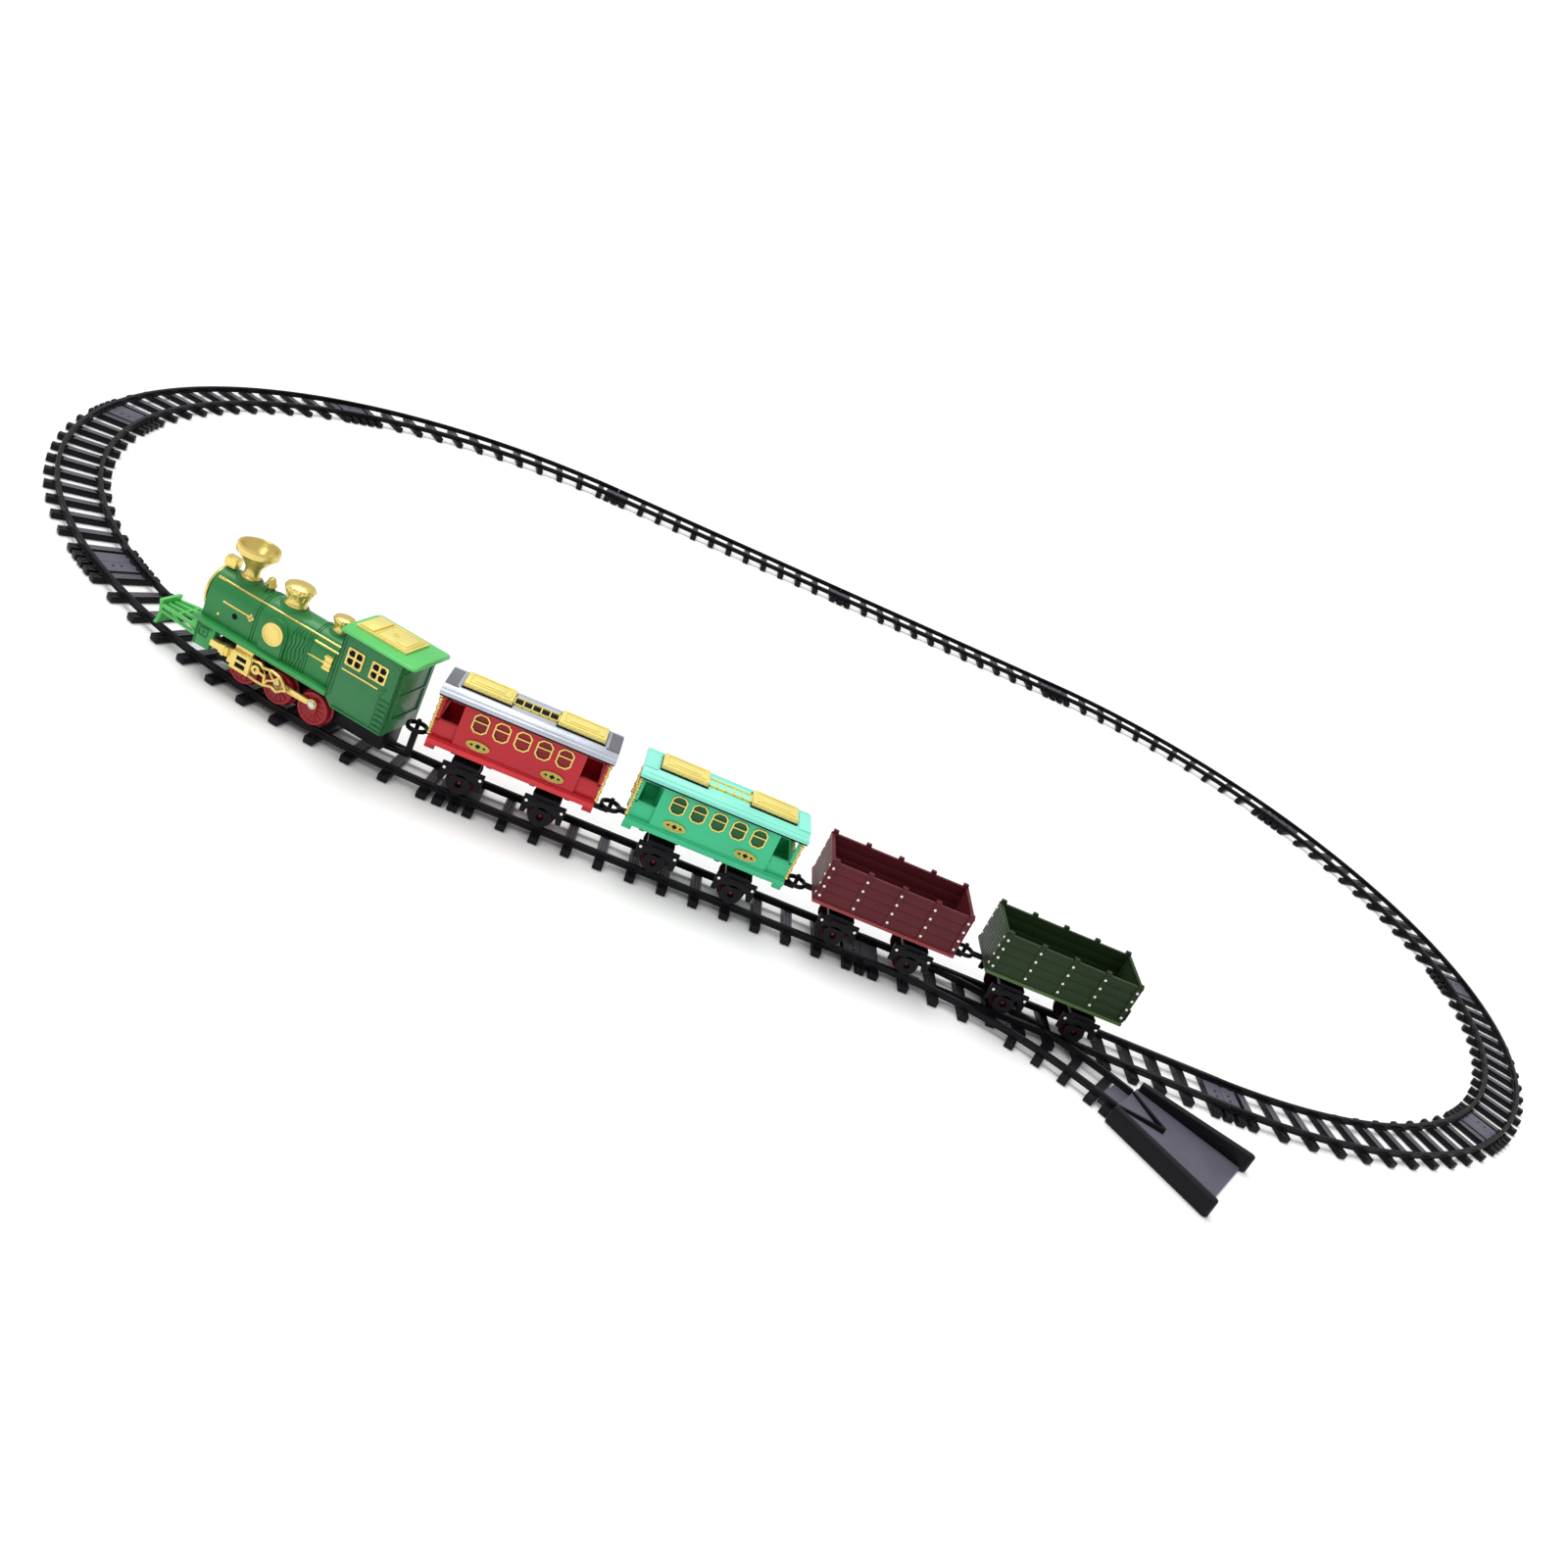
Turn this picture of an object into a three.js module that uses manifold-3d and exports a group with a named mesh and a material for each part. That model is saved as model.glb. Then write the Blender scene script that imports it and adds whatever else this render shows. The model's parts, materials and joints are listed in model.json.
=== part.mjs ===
// Toy electric train set: an oval of clip-together track with a rerailing ramp, a steam
// locomotive, two coaches and two open gondola wagons. Millimetres, +Z up, floor at z = 0.
import * as THREE from "three";
import { mergeVertices } from "three/addons/utils/BufferGeometryUtils.js";
import { ConvexGeometry } from "three/addons/geometries/ConvexGeometry.js";
import Module from "manifold-3d";

const wasm = await Module();
wasm.setup();

// ---------------------------------------------------------------- driving dimensions
const CURVE_R = 305; // radius of the track's centre line
const CURVE_DEG = 45; // angle of one curved piece
const CURVE_STEPS = 8; // flats in the rails of one curved piece
const STRAIGHT = 220; // length of one straight piece
const JOINT_GAP = 0.15; // each piece stops this far short of the joint
const RAIL_Y = 11.3; // rail centre from the track's centre line
const RAIL_W = 2.4;
const RAIL_TOP = 7;
const SLEEPER_L = 35.6;
const SLEEPER_W = 5;
const SLEEPER_H = 3.5;
const CURVE_SLEEPERS = 12;
const CURVE_PITCH = 19;
const STRAIGHT_SLEEPERS = 11;
const STRAIGHT_PITCH = 17.05;
const END_SLEEPER = 7.5; // end sleeper's centre from the joint
const TAB_L = 6; // snap tab beyond the joint
const TAB_W = 5;
const TAB_H = 2;
const TAB_Y = 5.5;
const FLANGEWAY = 2.3; // groove width beside a rail
const FLANGEWAY_D = 1.8;

const BRANCH_R = 230; // turnout's diverging route
const BRANCH_X = 10; // where it leaves the straight route
const BRANCH_DEG = 36.5;
const RAMP_L = 62;
const RAMP_W0 = 19; // half width between the wall centres at the track
const RAMP_W1 = 31; // half width at the open end
const RAMP_WALL_H = 10;

const WHEEL_GAP = 0.2; // wheel treads clear the rail by this much
const CAR_WHEEL_R = 6.5;
const DRIVER_R = 8.5;
const DRIVER_X = [20.5, 0, -20.5]; // driving axles, from the middle one
const CRANK = 3; // crank pin from the axle

const LOCO_ANGLE = 251.8; // where the middle driving axle stands on the left curve
const LOCO_INSET = 0.35; // the stiff wheelbase sits this far inside the curve's centre line
const DRAWBAR_X = -50; // drawbar's pivot, from the middle driving axle
const DRAWBAR_L = 17;
const RUN_BOARD_Z = 27; // underside of the running board
const CHASSIS_Z = 9.6; // underside of the underframe
const BOILER_R = 11.3;
const BOILER_Z = 42; // centre of the boiler's round top
const FITTING_Z = 53.6; // level the stack, domes and bell stand on
const CAB_X0 = -59.5;
const CAB_X1 = -26;
const CAB_Y = 15.5;
const CAB_TOP = 62.5;

const FLOOR_Z = 28.5; // underside of a wagon's floor
const COACH_L = 85.6;
const COACH_CABIN_L = 62;
const COACH_SILL_Y = 15;
const COACH_WALL_Y = 13.6;
const COACH_EAVE_Z = 55.6;
const COACH_ROOF_L = 89;
const COACH_ROOF_Y = 15.8;
const GONDOLA_L = 79;
const GONDOLA_Y = 16.4;
const GONDOLA_TOP = 53;
const TRUCK_X = 21; // each axle from the middle of its wagon
const TRUCK_Z = 23; // top of a truck's side frames
const FRAME_Y = 13.5; // inside face of the side frames
const AXLE_R = 1.2;
const COUPLER_Z = 23; // underside of the hook arms
const RING_Z = 25.8; // underside of the coupler rings
const RING_R = 5.6;
const RING_HOLE = 4.2;
const HOOK_R = 1.1;

const CARS = [
  { name: "red", x: -200.6, half: COACH_L / 2, kind: "coach" },
  { name: "teal", x: -98.6, half: COACH_L / 2, kind: "coach" },
  { name: "maroon", x: 0, half: GONDOLA_L / 2, kind: "gondola" },
  { name: "green", x: 97.6, half: GONDOLA_L / 2, kind: "gondola" },
];

const COLOURS = {
  track: [0x1b191d, 0.5, 0],
  ramp: [0x5d5a66, 0.5, 0],
  loco: [0x1f7a3c, 0.35, 0],
  trim: [0x52c46a, 0.35, 0],
  gold: [0xd2ab4c, 0.28, 0.85],
  black: [0x16151a, 0.5, 0],
  wheel: [0x8e1626, 0.4, 0],
  wagonWheel: [0x5a1420, 0.45, 0],
  red: [0xb01c28, 0.35, 0],
  silver: [0x9aa2ad, 0.25, 0.8],
  teal: [0x35b886, 0.35, 0],
  aqua: [0x8cf0d6, 0.35, 0],
  maroon: [0x642a31, 0.4, 0],
  green: [0x2f3d28, 0.4, 0],
  steel: [0xb8b8bc, 0.3, 0.9],
};

// ---------------------------------------------------------------- solid helpers
function solid(geometry) {
  const bare = geometry.index ? geometry.toNonIndexed() : geometry.clone();
  bare.deleteAttribute("normal");
  bare.deleteAttribute("uv");
  const merged = mergeVertices(bare, 1e-4);
  return new wasm.Manifold(
    new wasm.Mesh({
      numProp: 3,
      vertProperties: new Float32Array(merged.attributes.position.array),
      triVerts: new Uint32Array(merged.index.array),
    }),
  );
}

function union(parts) {
  return parts.reduce((all, part) => all.add(part));
}

function cut(body, tools) {
  return tools.reduce((left, tool) => left.subtract(tool), body);
}

function boxGeometry(x0, x1, y0, y1, z0, z1) {
  const box = new THREE.BoxGeometry(x1 - x0, y1 - y0, z1 - z0);
  return box.translate((x0 + x1) / 2, (y0 + y1) / 2, (z0 + z1) / 2);
}

function box(x0, x1, y0, y1, z0, z1) {
  return solid(boxGeometry(x0, x1, y0, y1, z0, z1));
}

function placedBox(matrix, x0, x1, y0, y1, z0, z1) {
  return solid(boxGeometry(x0, x1, y0, y1, z0, z1).applyMatrix4(matrix));
}

function outline(points) {
  return new THREE.Shape(points.map(([x, y]) => new THREE.Vector2(x, y)));
}

// A plan outline pulled up from z0 to z1.
function prismZ(shape, z0, z1) {
  const options = { depth: z1 - z0, bevelEnabled: false, curveSegments: 8 };
  return solid(new THREE.ExtrudeGeometry(shape, options).translate(0, 0, z0));
}

// A side outline in X and Z, pulled along Y.
function prismY(shape, y0, y1, curveSegments = 8) {
  const options = { depth: y1 - y0, bevelEnabled: false, curveSegments };
  const pulled = new THREE.ExtrudeGeometry(shape, options);
  return solid(pulled.rotateX(Math.PI / 2).translate(0, y1, 0));
}

// An end outline in Y and Z, pulled along X.
function prismX(shape, x0, x1, curveSegments = 8) {
  const options = { depth: x1 - x0, bevelEnabled: false, curveSegments };
  const pulled = new THREE.ExtrudeGeometry(shape, options);
  return solid(pulled.rotateX(Math.PI / 2).rotateZ(Math.PI / 2).translate(x0, 0, 0));
}

// A turned shape about a vertical line; each profile point is [radius, height].
function turnedZ(profile, x, y, z, sides) {
  const points = profile.map(([r, h]) => new THREE.Vector2(r, h));
  const turned = new THREE.LatheGeometry(points, sides).rotateX(Math.PI / 2);
  return solid(turned.translate(x, y, z));
}

// The same about a line along Y; each profile point is [radius, y].
function turnedY(profile, x, z, sides) {
  const points = profile.map(([r, h]) => new THREE.Vector2(r, h));
  return solid(new THREE.LatheGeometry(points, sides).translate(x, 0, z));
}

function pegZ(r, x, y, z0, z1, sides = 16) {
  return turnedZ([[0, z0], [r, z0], [r, z1], [0, z1]], x, y, 0, sides);
}

function pegY(r, x, z, y0, y1, sides = 16) {
  return turnedY([[0, y0], [r, y0], [r, y1], [0, y1]], x, z, sides);
}

function pegX(r, y, z, x0, x1, sides = 16) {
  const rod = new THREE.CylinderGeometry(r, r, x1 - x0, sides).rotateZ(Math.PI / 2);
  return solid(rod.translate((x0 + x1) / 2, y, z));
}

function meshOf(name, body, look) {
  const made = body.getMesh();
  const geometry = new THREE.BufferGeometry();
  const flat = new Float32Array(made.numVert * 3);
  for (let i = 0; i < made.numVert; i++) {
    flat.set(made.vertProperties.subarray(i * made.numProp, i * made.numProp + 3), i * 3);
  }
  geometry.setAttribute("position", new THREE.BufferAttribute(flat, 3));
  geometry.setIndex(new THREE.BufferAttribute(new Uint32Array(made.triVerts), 1));
  geometry.computeVertexNormals();
  const [color, roughness, metalness] = COLOURS[look];
  const material = new THREE.MeshStandardMaterial({ color, roughness, metalness });
  const mesh = new THREE.Mesh(geometry, material);
  mesh.name = name;
  return mesh;
}

// ---------------------------------------------------------------- track
// A band between two radii, drawn as a plan outline.
function arcBand(r0, r1, from, to, steps) {
  const ring = (r, k) => {
    const a = from + ((to - from) * k) / steps;
    return [r * Math.cos(a), r * Math.sin(a)];
  };
  const points = [];
  for (let k = 0; k <= steps; k++) points.push(ring(r1, k));
  for (let k = steps; k >= 0; k--) points.push(ring(r0, k));
  return outline(points);
}

// Frame whose +X leaves the piece at a joint, standing on the centre line.
function jointFrame(x, y, heading) {
  const turn = new THREE.Matrix4().makeRotationZ(heading);
  return new THREE.Matrix4().makeTranslation(x, y, 0).multiply(turn);
}

// End plate between the rails with its two sleepers, and the snap tab of one end.
function trackEnd(frame) {
  const half = SLEEPER_L / 2;
  const plate = RAIL_Y;
  const w = SLEEPER_W / 2;
  const comb = [
    [-END_SLEEPER - w, -half],
    [-END_SLEEPER + w, -half],
    [-END_SLEEPER + w, -plate],
    [-w, -plate],
    [-w, -half],
    [-JOINT_GAP, -half],
  ];
  const mirrored = comb.map(([x, y]) => [x, -y]).reverse();
  const sheet = outline([...comb, ...mirrored]);
  const options = { depth: SLEEPER_H, bevelEnabled: false };
  const tab0 = -TAB_Y - TAB_W / 2;
  return [
    solid(new THREE.ExtrudeGeometry(sheet, options).applyMatrix4(frame)),
    placedBox(frame, -1, TAB_L, tab0, tab0 + TAB_W, 0, TAB_H),
  ];
}

// The slot that takes the neighbour's tab.
function trackSlot(frame) {
  const slot0 = TAB_Y - TAB_W / 2 - 0.3;
  return placedBox(frame, -TAB_L - 0.5, 1, slot0, slot0 + TAB_W + 0.6, -1, TAB_H + 0.3);
}

function curvePiece() {
  const arc = THREE.MathUtils.degToRad(CURVE_DEG);
  const end = JOINT_GAP / CURVE_R;
  const bulge = 1 + (1 - Math.cos(arc / CURVE_STEPS / 2)) / 2;
  const parts = [];
  for (const side of [-1, 1]) {
    const middle = CURVE_R + side * RAIL_Y;
    const r0 = (middle - RAIL_W / 2) * bulge;
    const r1 = (middle + RAIL_W / 2) * bulge;
    parts.push(prismZ(arcBand(r0, r1, end, arc - end, CURVE_STEPS), SLEEPER_H, RAIL_TOP));
  }
  for (let i = 0; i < CURVE_SLEEPERS; i++) {
    const a = arc / 2 + ((i - (CURVE_SLEEPERS - 1) / 2) * CURVE_PITCH) / CURVE_R;
    const frame = jointFrame(CURVE_R * Math.cos(a), CURVE_R * Math.sin(a), a);
    const half = SLEEPER_L / 2;
    const wide = SLEEPER_W / 2;
    parts.push(placedBox(frame, -half, half, -wide, wide, 0, SLEEPER_H));
  }
  const first = jointFrame(CURVE_R, 0, -Math.PI / 2);
  const x = CURVE_R * Math.cos(arc);
  const y = CURVE_R * Math.sin(arc);
  const last = jointFrame(x, y, arc + Math.PI / 2);
  parts.push(...trackEnd(first), ...trackEnd(last));
  return cut(union(parts), [trackSlot(first), trackSlot(last)]);
}

function straightRails(length) {
  return [-1, 1].map((side) => {
    const y = side * RAIL_Y;
    const w = RAIL_W / 2;
    return box(JOINT_GAP, length - JOINT_GAP, y - w, y + w, SLEEPER_H, RAIL_TOP);
  });
}

function straightPiece() {
  const parts = straightRails(STRAIGHT);
  for (let i = 0; i < STRAIGHT_SLEEPERS; i++) {
    const x = STRAIGHT / 2 + (i - (STRAIGHT_SLEEPERS - 1) / 2) * STRAIGHT_PITCH;
    const w = SLEEPER_W / 2;
    parts.push(box(x - w, x + w, -SLEEPER_L / 2, SLEEPER_L / 2, 0, SLEEPER_H));
  }
  const first = jointFrame(0, 0, Math.PI);
  const last = jointFrame(STRAIGHT, 0, 0);
  parts.push(...trackEnd(first), ...trackEnd(last));
  return cut(union(parts), [trackSlot(first), trackSlot(last)]);
}

// Point on the turnout's diverging centre line, offset towards its outside.
function branchPoint(a, offset) {
  const r = BRANCH_R + offset;
  return [BRANCH_X + r * Math.sin(a), -BRANCH_R + r * Math.cos(a)];
}

function branchBand(r0, r1, z0, z1, a0, a1) {
  const steps = 10;
  const points = [];
  for (let k = 0; k <= steps; k++) points.push(branchPoint(a0 + ((a1 - a0) * k) / steps, r1));
  for (let k = steps; k >= 0; k--) points.push(branchPoint(a0 + ((a1 - a0) * k) / steps, r0));
  return prismZ(outline(points.reverse()), z0, z1);
}

function turnoutPiece() {
  const arc = THREE.MathUtils.degToRad(BRANCH_DEG);
  const end = arc - JOINT_GAP / BRANCH_R;
  const w = RAIL_W / 2;
  const parts = straightRails(STRAIGHT);
  for (const side of [-1, 1]) {
    const middle = side * RAIL_Y;
    parts.push(branchBand(middle - w, middle + w, SLEEPER_H, RAIL_TOP, 0, end));
  }
  // Sleepers of the straight route reach out under the branch while the two run close.
  for (let i = 0; i < STRAIGHT_SLEEPERS; i++) {
    const x = STRAIGHT / 2 + (i - (STRAIGHT_SLEEPERS - 1) / 2) * STRAIGHT_PITCH;
    const a = Math.asin(Math.max(0, x - BRANCH_X) / BRANCH_R);
    const drop = x < 75 ? BRANCH_R * (1 - Math.cos(a)) : 0;
    const y0 = -SLEEPER_L / 2 - drop;
    parts.push(box(x - SLEEPER_W / 2, x + SLEEPER_W / 2, y0, SLEEPER_L / 2, 0, SLEEPER_H));
  }
  // Sleepers of the branch alone, cut back where they would run under the straight route.
  for (let i = 0; i < 4; i++) {
    const a = arc - (13 + i * STRAIGHT_PITCH) / BRANCH_R;
    const [x, y] = branchPoint(a, 0);
    const inner = [6, 2, -4, -7][i] + SLEEPER_L / 2;
    const frame = jointFrame(x, y, -a);
    const half = SLEEPER_L / 2;
    parts.push(
      placedBox(frame, -SLEEPER_W / 2, SLEEPER_W / 2, -half, Math.min(half, inner), 0, SLEEPER_H),
    );
  }
  const [bx, by] = branchPoint(end, 0);
  const frame = jointFrame(bx, by, -arc);
  const half = SLEEPER_L / 2;
  parts.push(placedBox(frame, -SLEEPER_W, 0, -half, half, 0, SLEEPER_H));
  parts.push(placedBox(frame, -1, TAB_L, -TAB_W / 2, TAB_W / 2, 0, TAB_H));
  const first = jointFrame(0, 0, Math.PI);
  const last = jointFrame(STRAIGHT, 0, 0);
  parts.push(...trackEnd(first), ...trackEnd(last));
  const groove = RAIL_TOP - FLANGEWAY_D;
  const inside = RAIL_Y - w;
  const grooves = [-1, 1].flatMap((side) => {
    const a = side * inside;
    const b = side * (inside - FLANGEWAY);
    const y0 = Math.min(a, b);
    const y1 = Math.max(a, b);
    return [
      box(20, STRAIGHT - 20, y0, y1, groove, RAIL_TOP + 1),
      branchBand(y0, y1, groove, RAIL_TOP + 1, 0.1, end - 0.02),
    ];
  });
  return cut(union(parts), [trackSlot(first), trackSlot(last), ...grooves]);
}

// Flared ramp that guides a wagon's wheels up on to the rails; +X runs down the ramp.
function rampPiece() {
  const sheetTop = RAIL_TOP - 1.1;
  const corners = [];
  for (const side of [-1, 1]) {
    corners.push(
      new THREE.Vector3(JOINT_GAP, side * RAMP_W0, 0),
      new THREE.Vector3(JOINT_GAP, side * RAMP_W0, sheetTop),
      new THREE.Vector3(RAMP_L, side * RAMP_W1, 0),
      new THREE.Vector3(RAMP_L, side * RAMP_W1, 1.4),
    );
  }
  const parts = [solid(new ConvexGeometry(corners))];
  for (const side of [-1, 1]) {
    const heading = Math.atan2(side * (RAMP_W1 - RAMP_W0), RAMP_L);
    const length = Math.hypot(RAMP_L, RAMP_W1 - RAMP_W0);
    const wall = new THREE.Shape();
    wall.moveTo(0.4, -2);
    wall.lineTo(length, -2.6);
    wall.absarc(length, 0, 2.6, -Math.PI / 2, Math.PI / 2, false);
    wall.lineTo(0.4, 2);
    const options = { depth: RAMP_WALL_H, bevelEnabled: false, curveSegments: 8 };
    const pulled = new THREE.ExtrudeGeometry(wall, options).rotateZ(heading);
    parts.push(solid(pulled.translate(0.4, side * RAMP_W0, 0)));
    const rib = outline([
      [JOINT_GAP, side * (RAIL_Y + 1)],
      [JOINT_GAP, side * (RAIL_Y - 1)],
      [24, -side * 0.3],
      [25, side * 0.9],
    ]);
    const ribShape = side > 0 ? rib : outline(rib.getPoints().reverse().map((p) => [p.x, p.y]));
    parts.push(prismZ(ribShape, 0.5, RAIL_TOP));
  }
  const slot = box(-1, TAB_L + 0.5, -TAB_W / 2 - 0.3, TAB_W / 2 + 0.3, -1, TAB_H + 0.3);
  return union(parts).subtract(slot);
}

function buildTrack() {
  const group = new THREE.Group();
  const curve = curvePiece();
  const straight = straightPiece();
  for (let k = 0; k < 8; k++) {
    const mesh = meshOf("curve_track_" + (k + 1), curve, "track");
    const right = k < 4;
    mesh.position.x = right ? STRAIGHT : -STRAIGHT;
    mesh.rotation.z = THREE.MathUtils.degToRad(-90 + CURVE_DEG * k);
    group.add(mesh);
  }
  const places = [
    [-STRAIGHT, -CURVE_R, 0],
    [0, CURVE_R, 0],
    [-STRAIGHT, CURVE_R, 0],
  ];
  places.forEach(([x, y, turn], k) => {
    const mesh = meshOf("straight_track_" + (k + 1), straight, "track");
    mesh.position.set(x, y, 0);
    mesh.rotation.z = turn;
    group.add(mesh);
  });
  const turnout = meshOf("turnout_track", turnoutPiece(), "track");
  turnout.position.set(0, -CURVE_R, 0);
  group.add(turnout);
  const arc = THREE.MathUtils.degToRad(BRANCH_DEG);
  const [x, y] = branchPoint(arc, 0);
  const ramp = meshOf("rerailer_ramp", rampPiece(), "ramp");
  ramp.position.set(x, y - CURVE_R, 0);
  ramp.rotation.z = -arc;
  group.add(ramp);
  return group;
}

// ---------------------------------------------------------------- wheels and trucks
// Two flanged wheels on one axle, turned as one piece about Y.
function wheelset(r, flange, back, width, sides) {
  const half = [
    [0, width],
    [r, width],
    [r, back + 1.1],
    [flange, back + 0.7],
    [flange, back],
    [AXLE_R, back],
  ];
  const mirrored = half.map(([radius, y]) => [radius, -y]);
  return turnedY([...mirrored, ...half.reverse()], 0, 0, sides);
}

// Inner bearing plate: the axle snaps up into its slot from below.
function bearingPlate(axleZ, y0, thickness) {
  const slot = AXLE_R + 0.15;
  const plate = outline([
    [-3.4, axleZ - 2.6],
    [-slot, axleZ - 2.6],
    [-slot, axleZ + slot],
    [slot, axleZ + slot],
    [slot, axleZ - 2.6],
    [3.4, axleZ - 2.6],
    [3.4, TRUCK_Z],
    [-3.4, TRUCK_Z],
  ]);
  return prismY(plate, y0, y0 + thickness);
}

// Outer side frame with an arch over the wheel and a round knob at each end.
function sideFrame(axleZ, side) {
  const foot = axleZ - 0.5;
  const arch = outline([
    [-10.8, foot],
    [-8.2, foot],
    [-6.6, 17.8],
    [-3.4, 20.3],
    [3.4, 20.3],
    [6.6, 17.8],
    [8.2, foot],
    [10.8, foot],
    [10.8, TRUCK_Z],
    [-10.8, TRUCK_Z],
  ]);
  const y0 = side > 0 ? FRAME_Y : -FRAME_Y - 1.5;
  const k0 = side > 0 ? FRAME_Y + 1.2 : -FRAME_Y - 2.3;
  const knobs = [-9.1, 9.1].map((x) => pegY(1.2, x, 20.4, k0, k0 + 1.1, 6));
  return union([prismY(arch, y0, y0 + 1.5), ...knobs]);
}

// Single-axle truck: bearing plates, side frames, pivot and coupler arm.
function truck(direction, reach, ring) {
  const axleZ = RAIL_TOP + WHEEL_GAP + CAR_WHEEL_R;
  const parts = [
    box(-7, 7, -FRAME_Y - 1, FRAME_Y + 1, TRUCK_Z - 0.6, TRUCK_Z + 1.8),
    bearingPlate(axleZ, 5.6, 1.8),
    bearingPlate(axleZ, -7.4, 1.8),
    sideFrame(axleZ, 1),
    sideFrame(axleZ, -1),
    pegZ(2.2, 0, 0, TRUCK_Z + 1, FLOOR_Z + 2, 12),
  ];
  const tip = direction * reach;
  const span = (a, b, z0, z1) =>
    box(Math.min(a, b), Math.max(a, b), -1.6, 1.6, z0, z1);
  if (ring) {
    const arm = tip - direction * (RING_R - 0.6);
    parts.push(span(direction * 5.5, direction * 8, TRUCK_Z, RING_Z + 2));
    parts.push(span(direction * 7, arm, RING_Z, RING_Z + 2));
    parts.push(pegZ(RING_R, tip, 0, RING_Z, RING_Z + 2, 14));
    return union(parts).subtract(pegZ(RING_HOLE, tip, 0, 20, 30, 14));
  }
  parts.push(span(direction * 6, tip, COUPLER_Z, COUPLER_Z + 1.6));
  parts.push(pegZ(HOOK_R, tip, 0, COUPLER_Z + 1, COUPLER_Z + 8, 10));
  return union(parts);
}

// Blind pivot bores in a wagon's floor, one over each truck.
function pivotBores() {
  return [-1, 1].map((side) =>
    pegZ(2.3, side * TRUCK_X, 0, FLOOR_Z - 1, FLOOR_Z + 2.2, 16),
  );
}

// ---------------------------------------------------------------- coaches
function windowOutline(x, z, w, h, corner) {
  return outline([
    [x - w + corner, z - h],
    [x + w - corner, z - h],
    [x + w, z - h + corner],
    [x + w, z + h - corner],
    [x + w - corner, z + h],
    [x - w + corner, z + h],
    [x - w, z + h - corner],
    [x - w, z - h + corner],
  ]);
}

function coachBody() {
  const half = COACH_L / 2;
  const cabin = COACH_CABIN_L / 2;
  const floor = FLOOR_Z + 3;
  const parts = [
    box(-half, half, -COACH_SILL_Y, COACH_SILL_Y, FLOOR_Z, floor),
    box(-cabin, cabin, -COACH_WALL_Y, COACH_WALL_Y, FLOOR_Z + 1, COACH_EAVE_Z),
  ];
  const w = 1.5;
  const hollow = box(
    -cabin + w,
    cabin - w,
    -COACH_WALL_Y + w,
    COACH_WALL_Y - w,
    floor,
    COACH_EAVE_Z + 1,
  );
  for (const end of [-1, 1]) {
    const outer = end * (half - 0.6);
    const inner = end * (half - 2.2);
    const x0 = Math.min(outer, inner);
    const x1 = Math.max(outer, inner);
    parts.push(box(x0, x1, -12.6, 12.6, floor - 0.5, floor + 10));
    for (const side of [-1, 1]) {
      const y = side * 12;
      parts.push(box(x0, x1, y - 0.9, y + 0.9, floor - 0.5, COACH_EAVE_Z));
      const s0 = Math.min(end * (cabin - 0.5), inner);
      const s1 = Math.max(end * (cabin - 0.5), inner);
      parts.push(box(s0, s1, y - 0.7, y + 0.7, floor - 0.5, floor + 10));
    }
  }
  const openings = [];
  for (let i = 0; i < 5; i++) {
    const shape = windowOutline((i - 2) * 10.7, 47.8, 3.4, 4.6, 1.6);
    openings.push(prismY(shape, COACH_WALL_Y - 0.7, COACH_WALL_Y + 1));
    openings.push(prismY(shape, -COACH_WALL_Y - 1, -COACH_WALL_Y + 0.7));
  }
  return cut(union(parts), [hollow, ...pivotBores(), ...openings]);
}

function coachRoof() {
  const e = COACH_EAVE_Z;
  const y = COACH_ROOF_Y;
  const section = outline([
    [-y, e],
    [y, e],
    [y, e + 1.2],
    [y - 1.6, e + 2.6],
    [9.4, e + 3.7],
    [-9.4, e + 3.7],
    [-y + 1.6, e + 2.6],
    [-y, e + 1.2],
  ]);
  return prismX(section, -COACH_ROOF_L / 2, COACH_ROOF_L / 2);
}

// Two raised vents joined by a low grille strip: one moulding along the roof's middle.
function coachVents() {
  const z = COACH_EAVE_Z + 3.7;
  const parts = [box(-13, 13, -4.2, 4.2, z, z + 1)];
  for (const end of [-1, 1]) {
    const x0 = end > 0 ? 11.5 : -36.5;
    parts.push(box(x0, x0 + 25, -7.4, 7.4, z, z + 3));
    parts.push(box(x0 + 2, x0 + 23, -5.2, 5.2, z + 2.5, z + 3.8));
  }
  return union(parts);
}

// ---------------------------------------------------------------- gondolas
function gondolaBody() {
  const half = GONDOLA_L / 2;
  const y = GONDOLA_Y;
  const floor = FLOOR_Z + 3;
  const parts = [
    box(-half, half, -y, y, FLOOR_Z, GONDOLA_TOP),
    box(-half, half, -y - 0.9, y + 0.9, FLOOR_Z, FLOOR_Z + 2),
  ];
  for (let i = 0; i < 5; i++) {
    const x = (i - 2) * ((GONDOLA_L - 4) / 4);
    for (const side of [-1, 1]) {
      const a = side * (y - 1);
      const b = side * (y + 0.6);
      const y0 = Math.min(a, b);
      const y1 = Math.max(a, b);
      parts.push(box(x - 1.2, x + 1.2, y0, y1, FLOOR_Z + 1, GONDOLA_TOP + 2));
    }
  }
  const inside = box(-half + 1.6, half - 1.6, -y + 1.6, y - 1.6, floor, GONDOLA_TOP + 3);
  return cut(union(parts), [inside, ...pivotBores()]);
}

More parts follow.
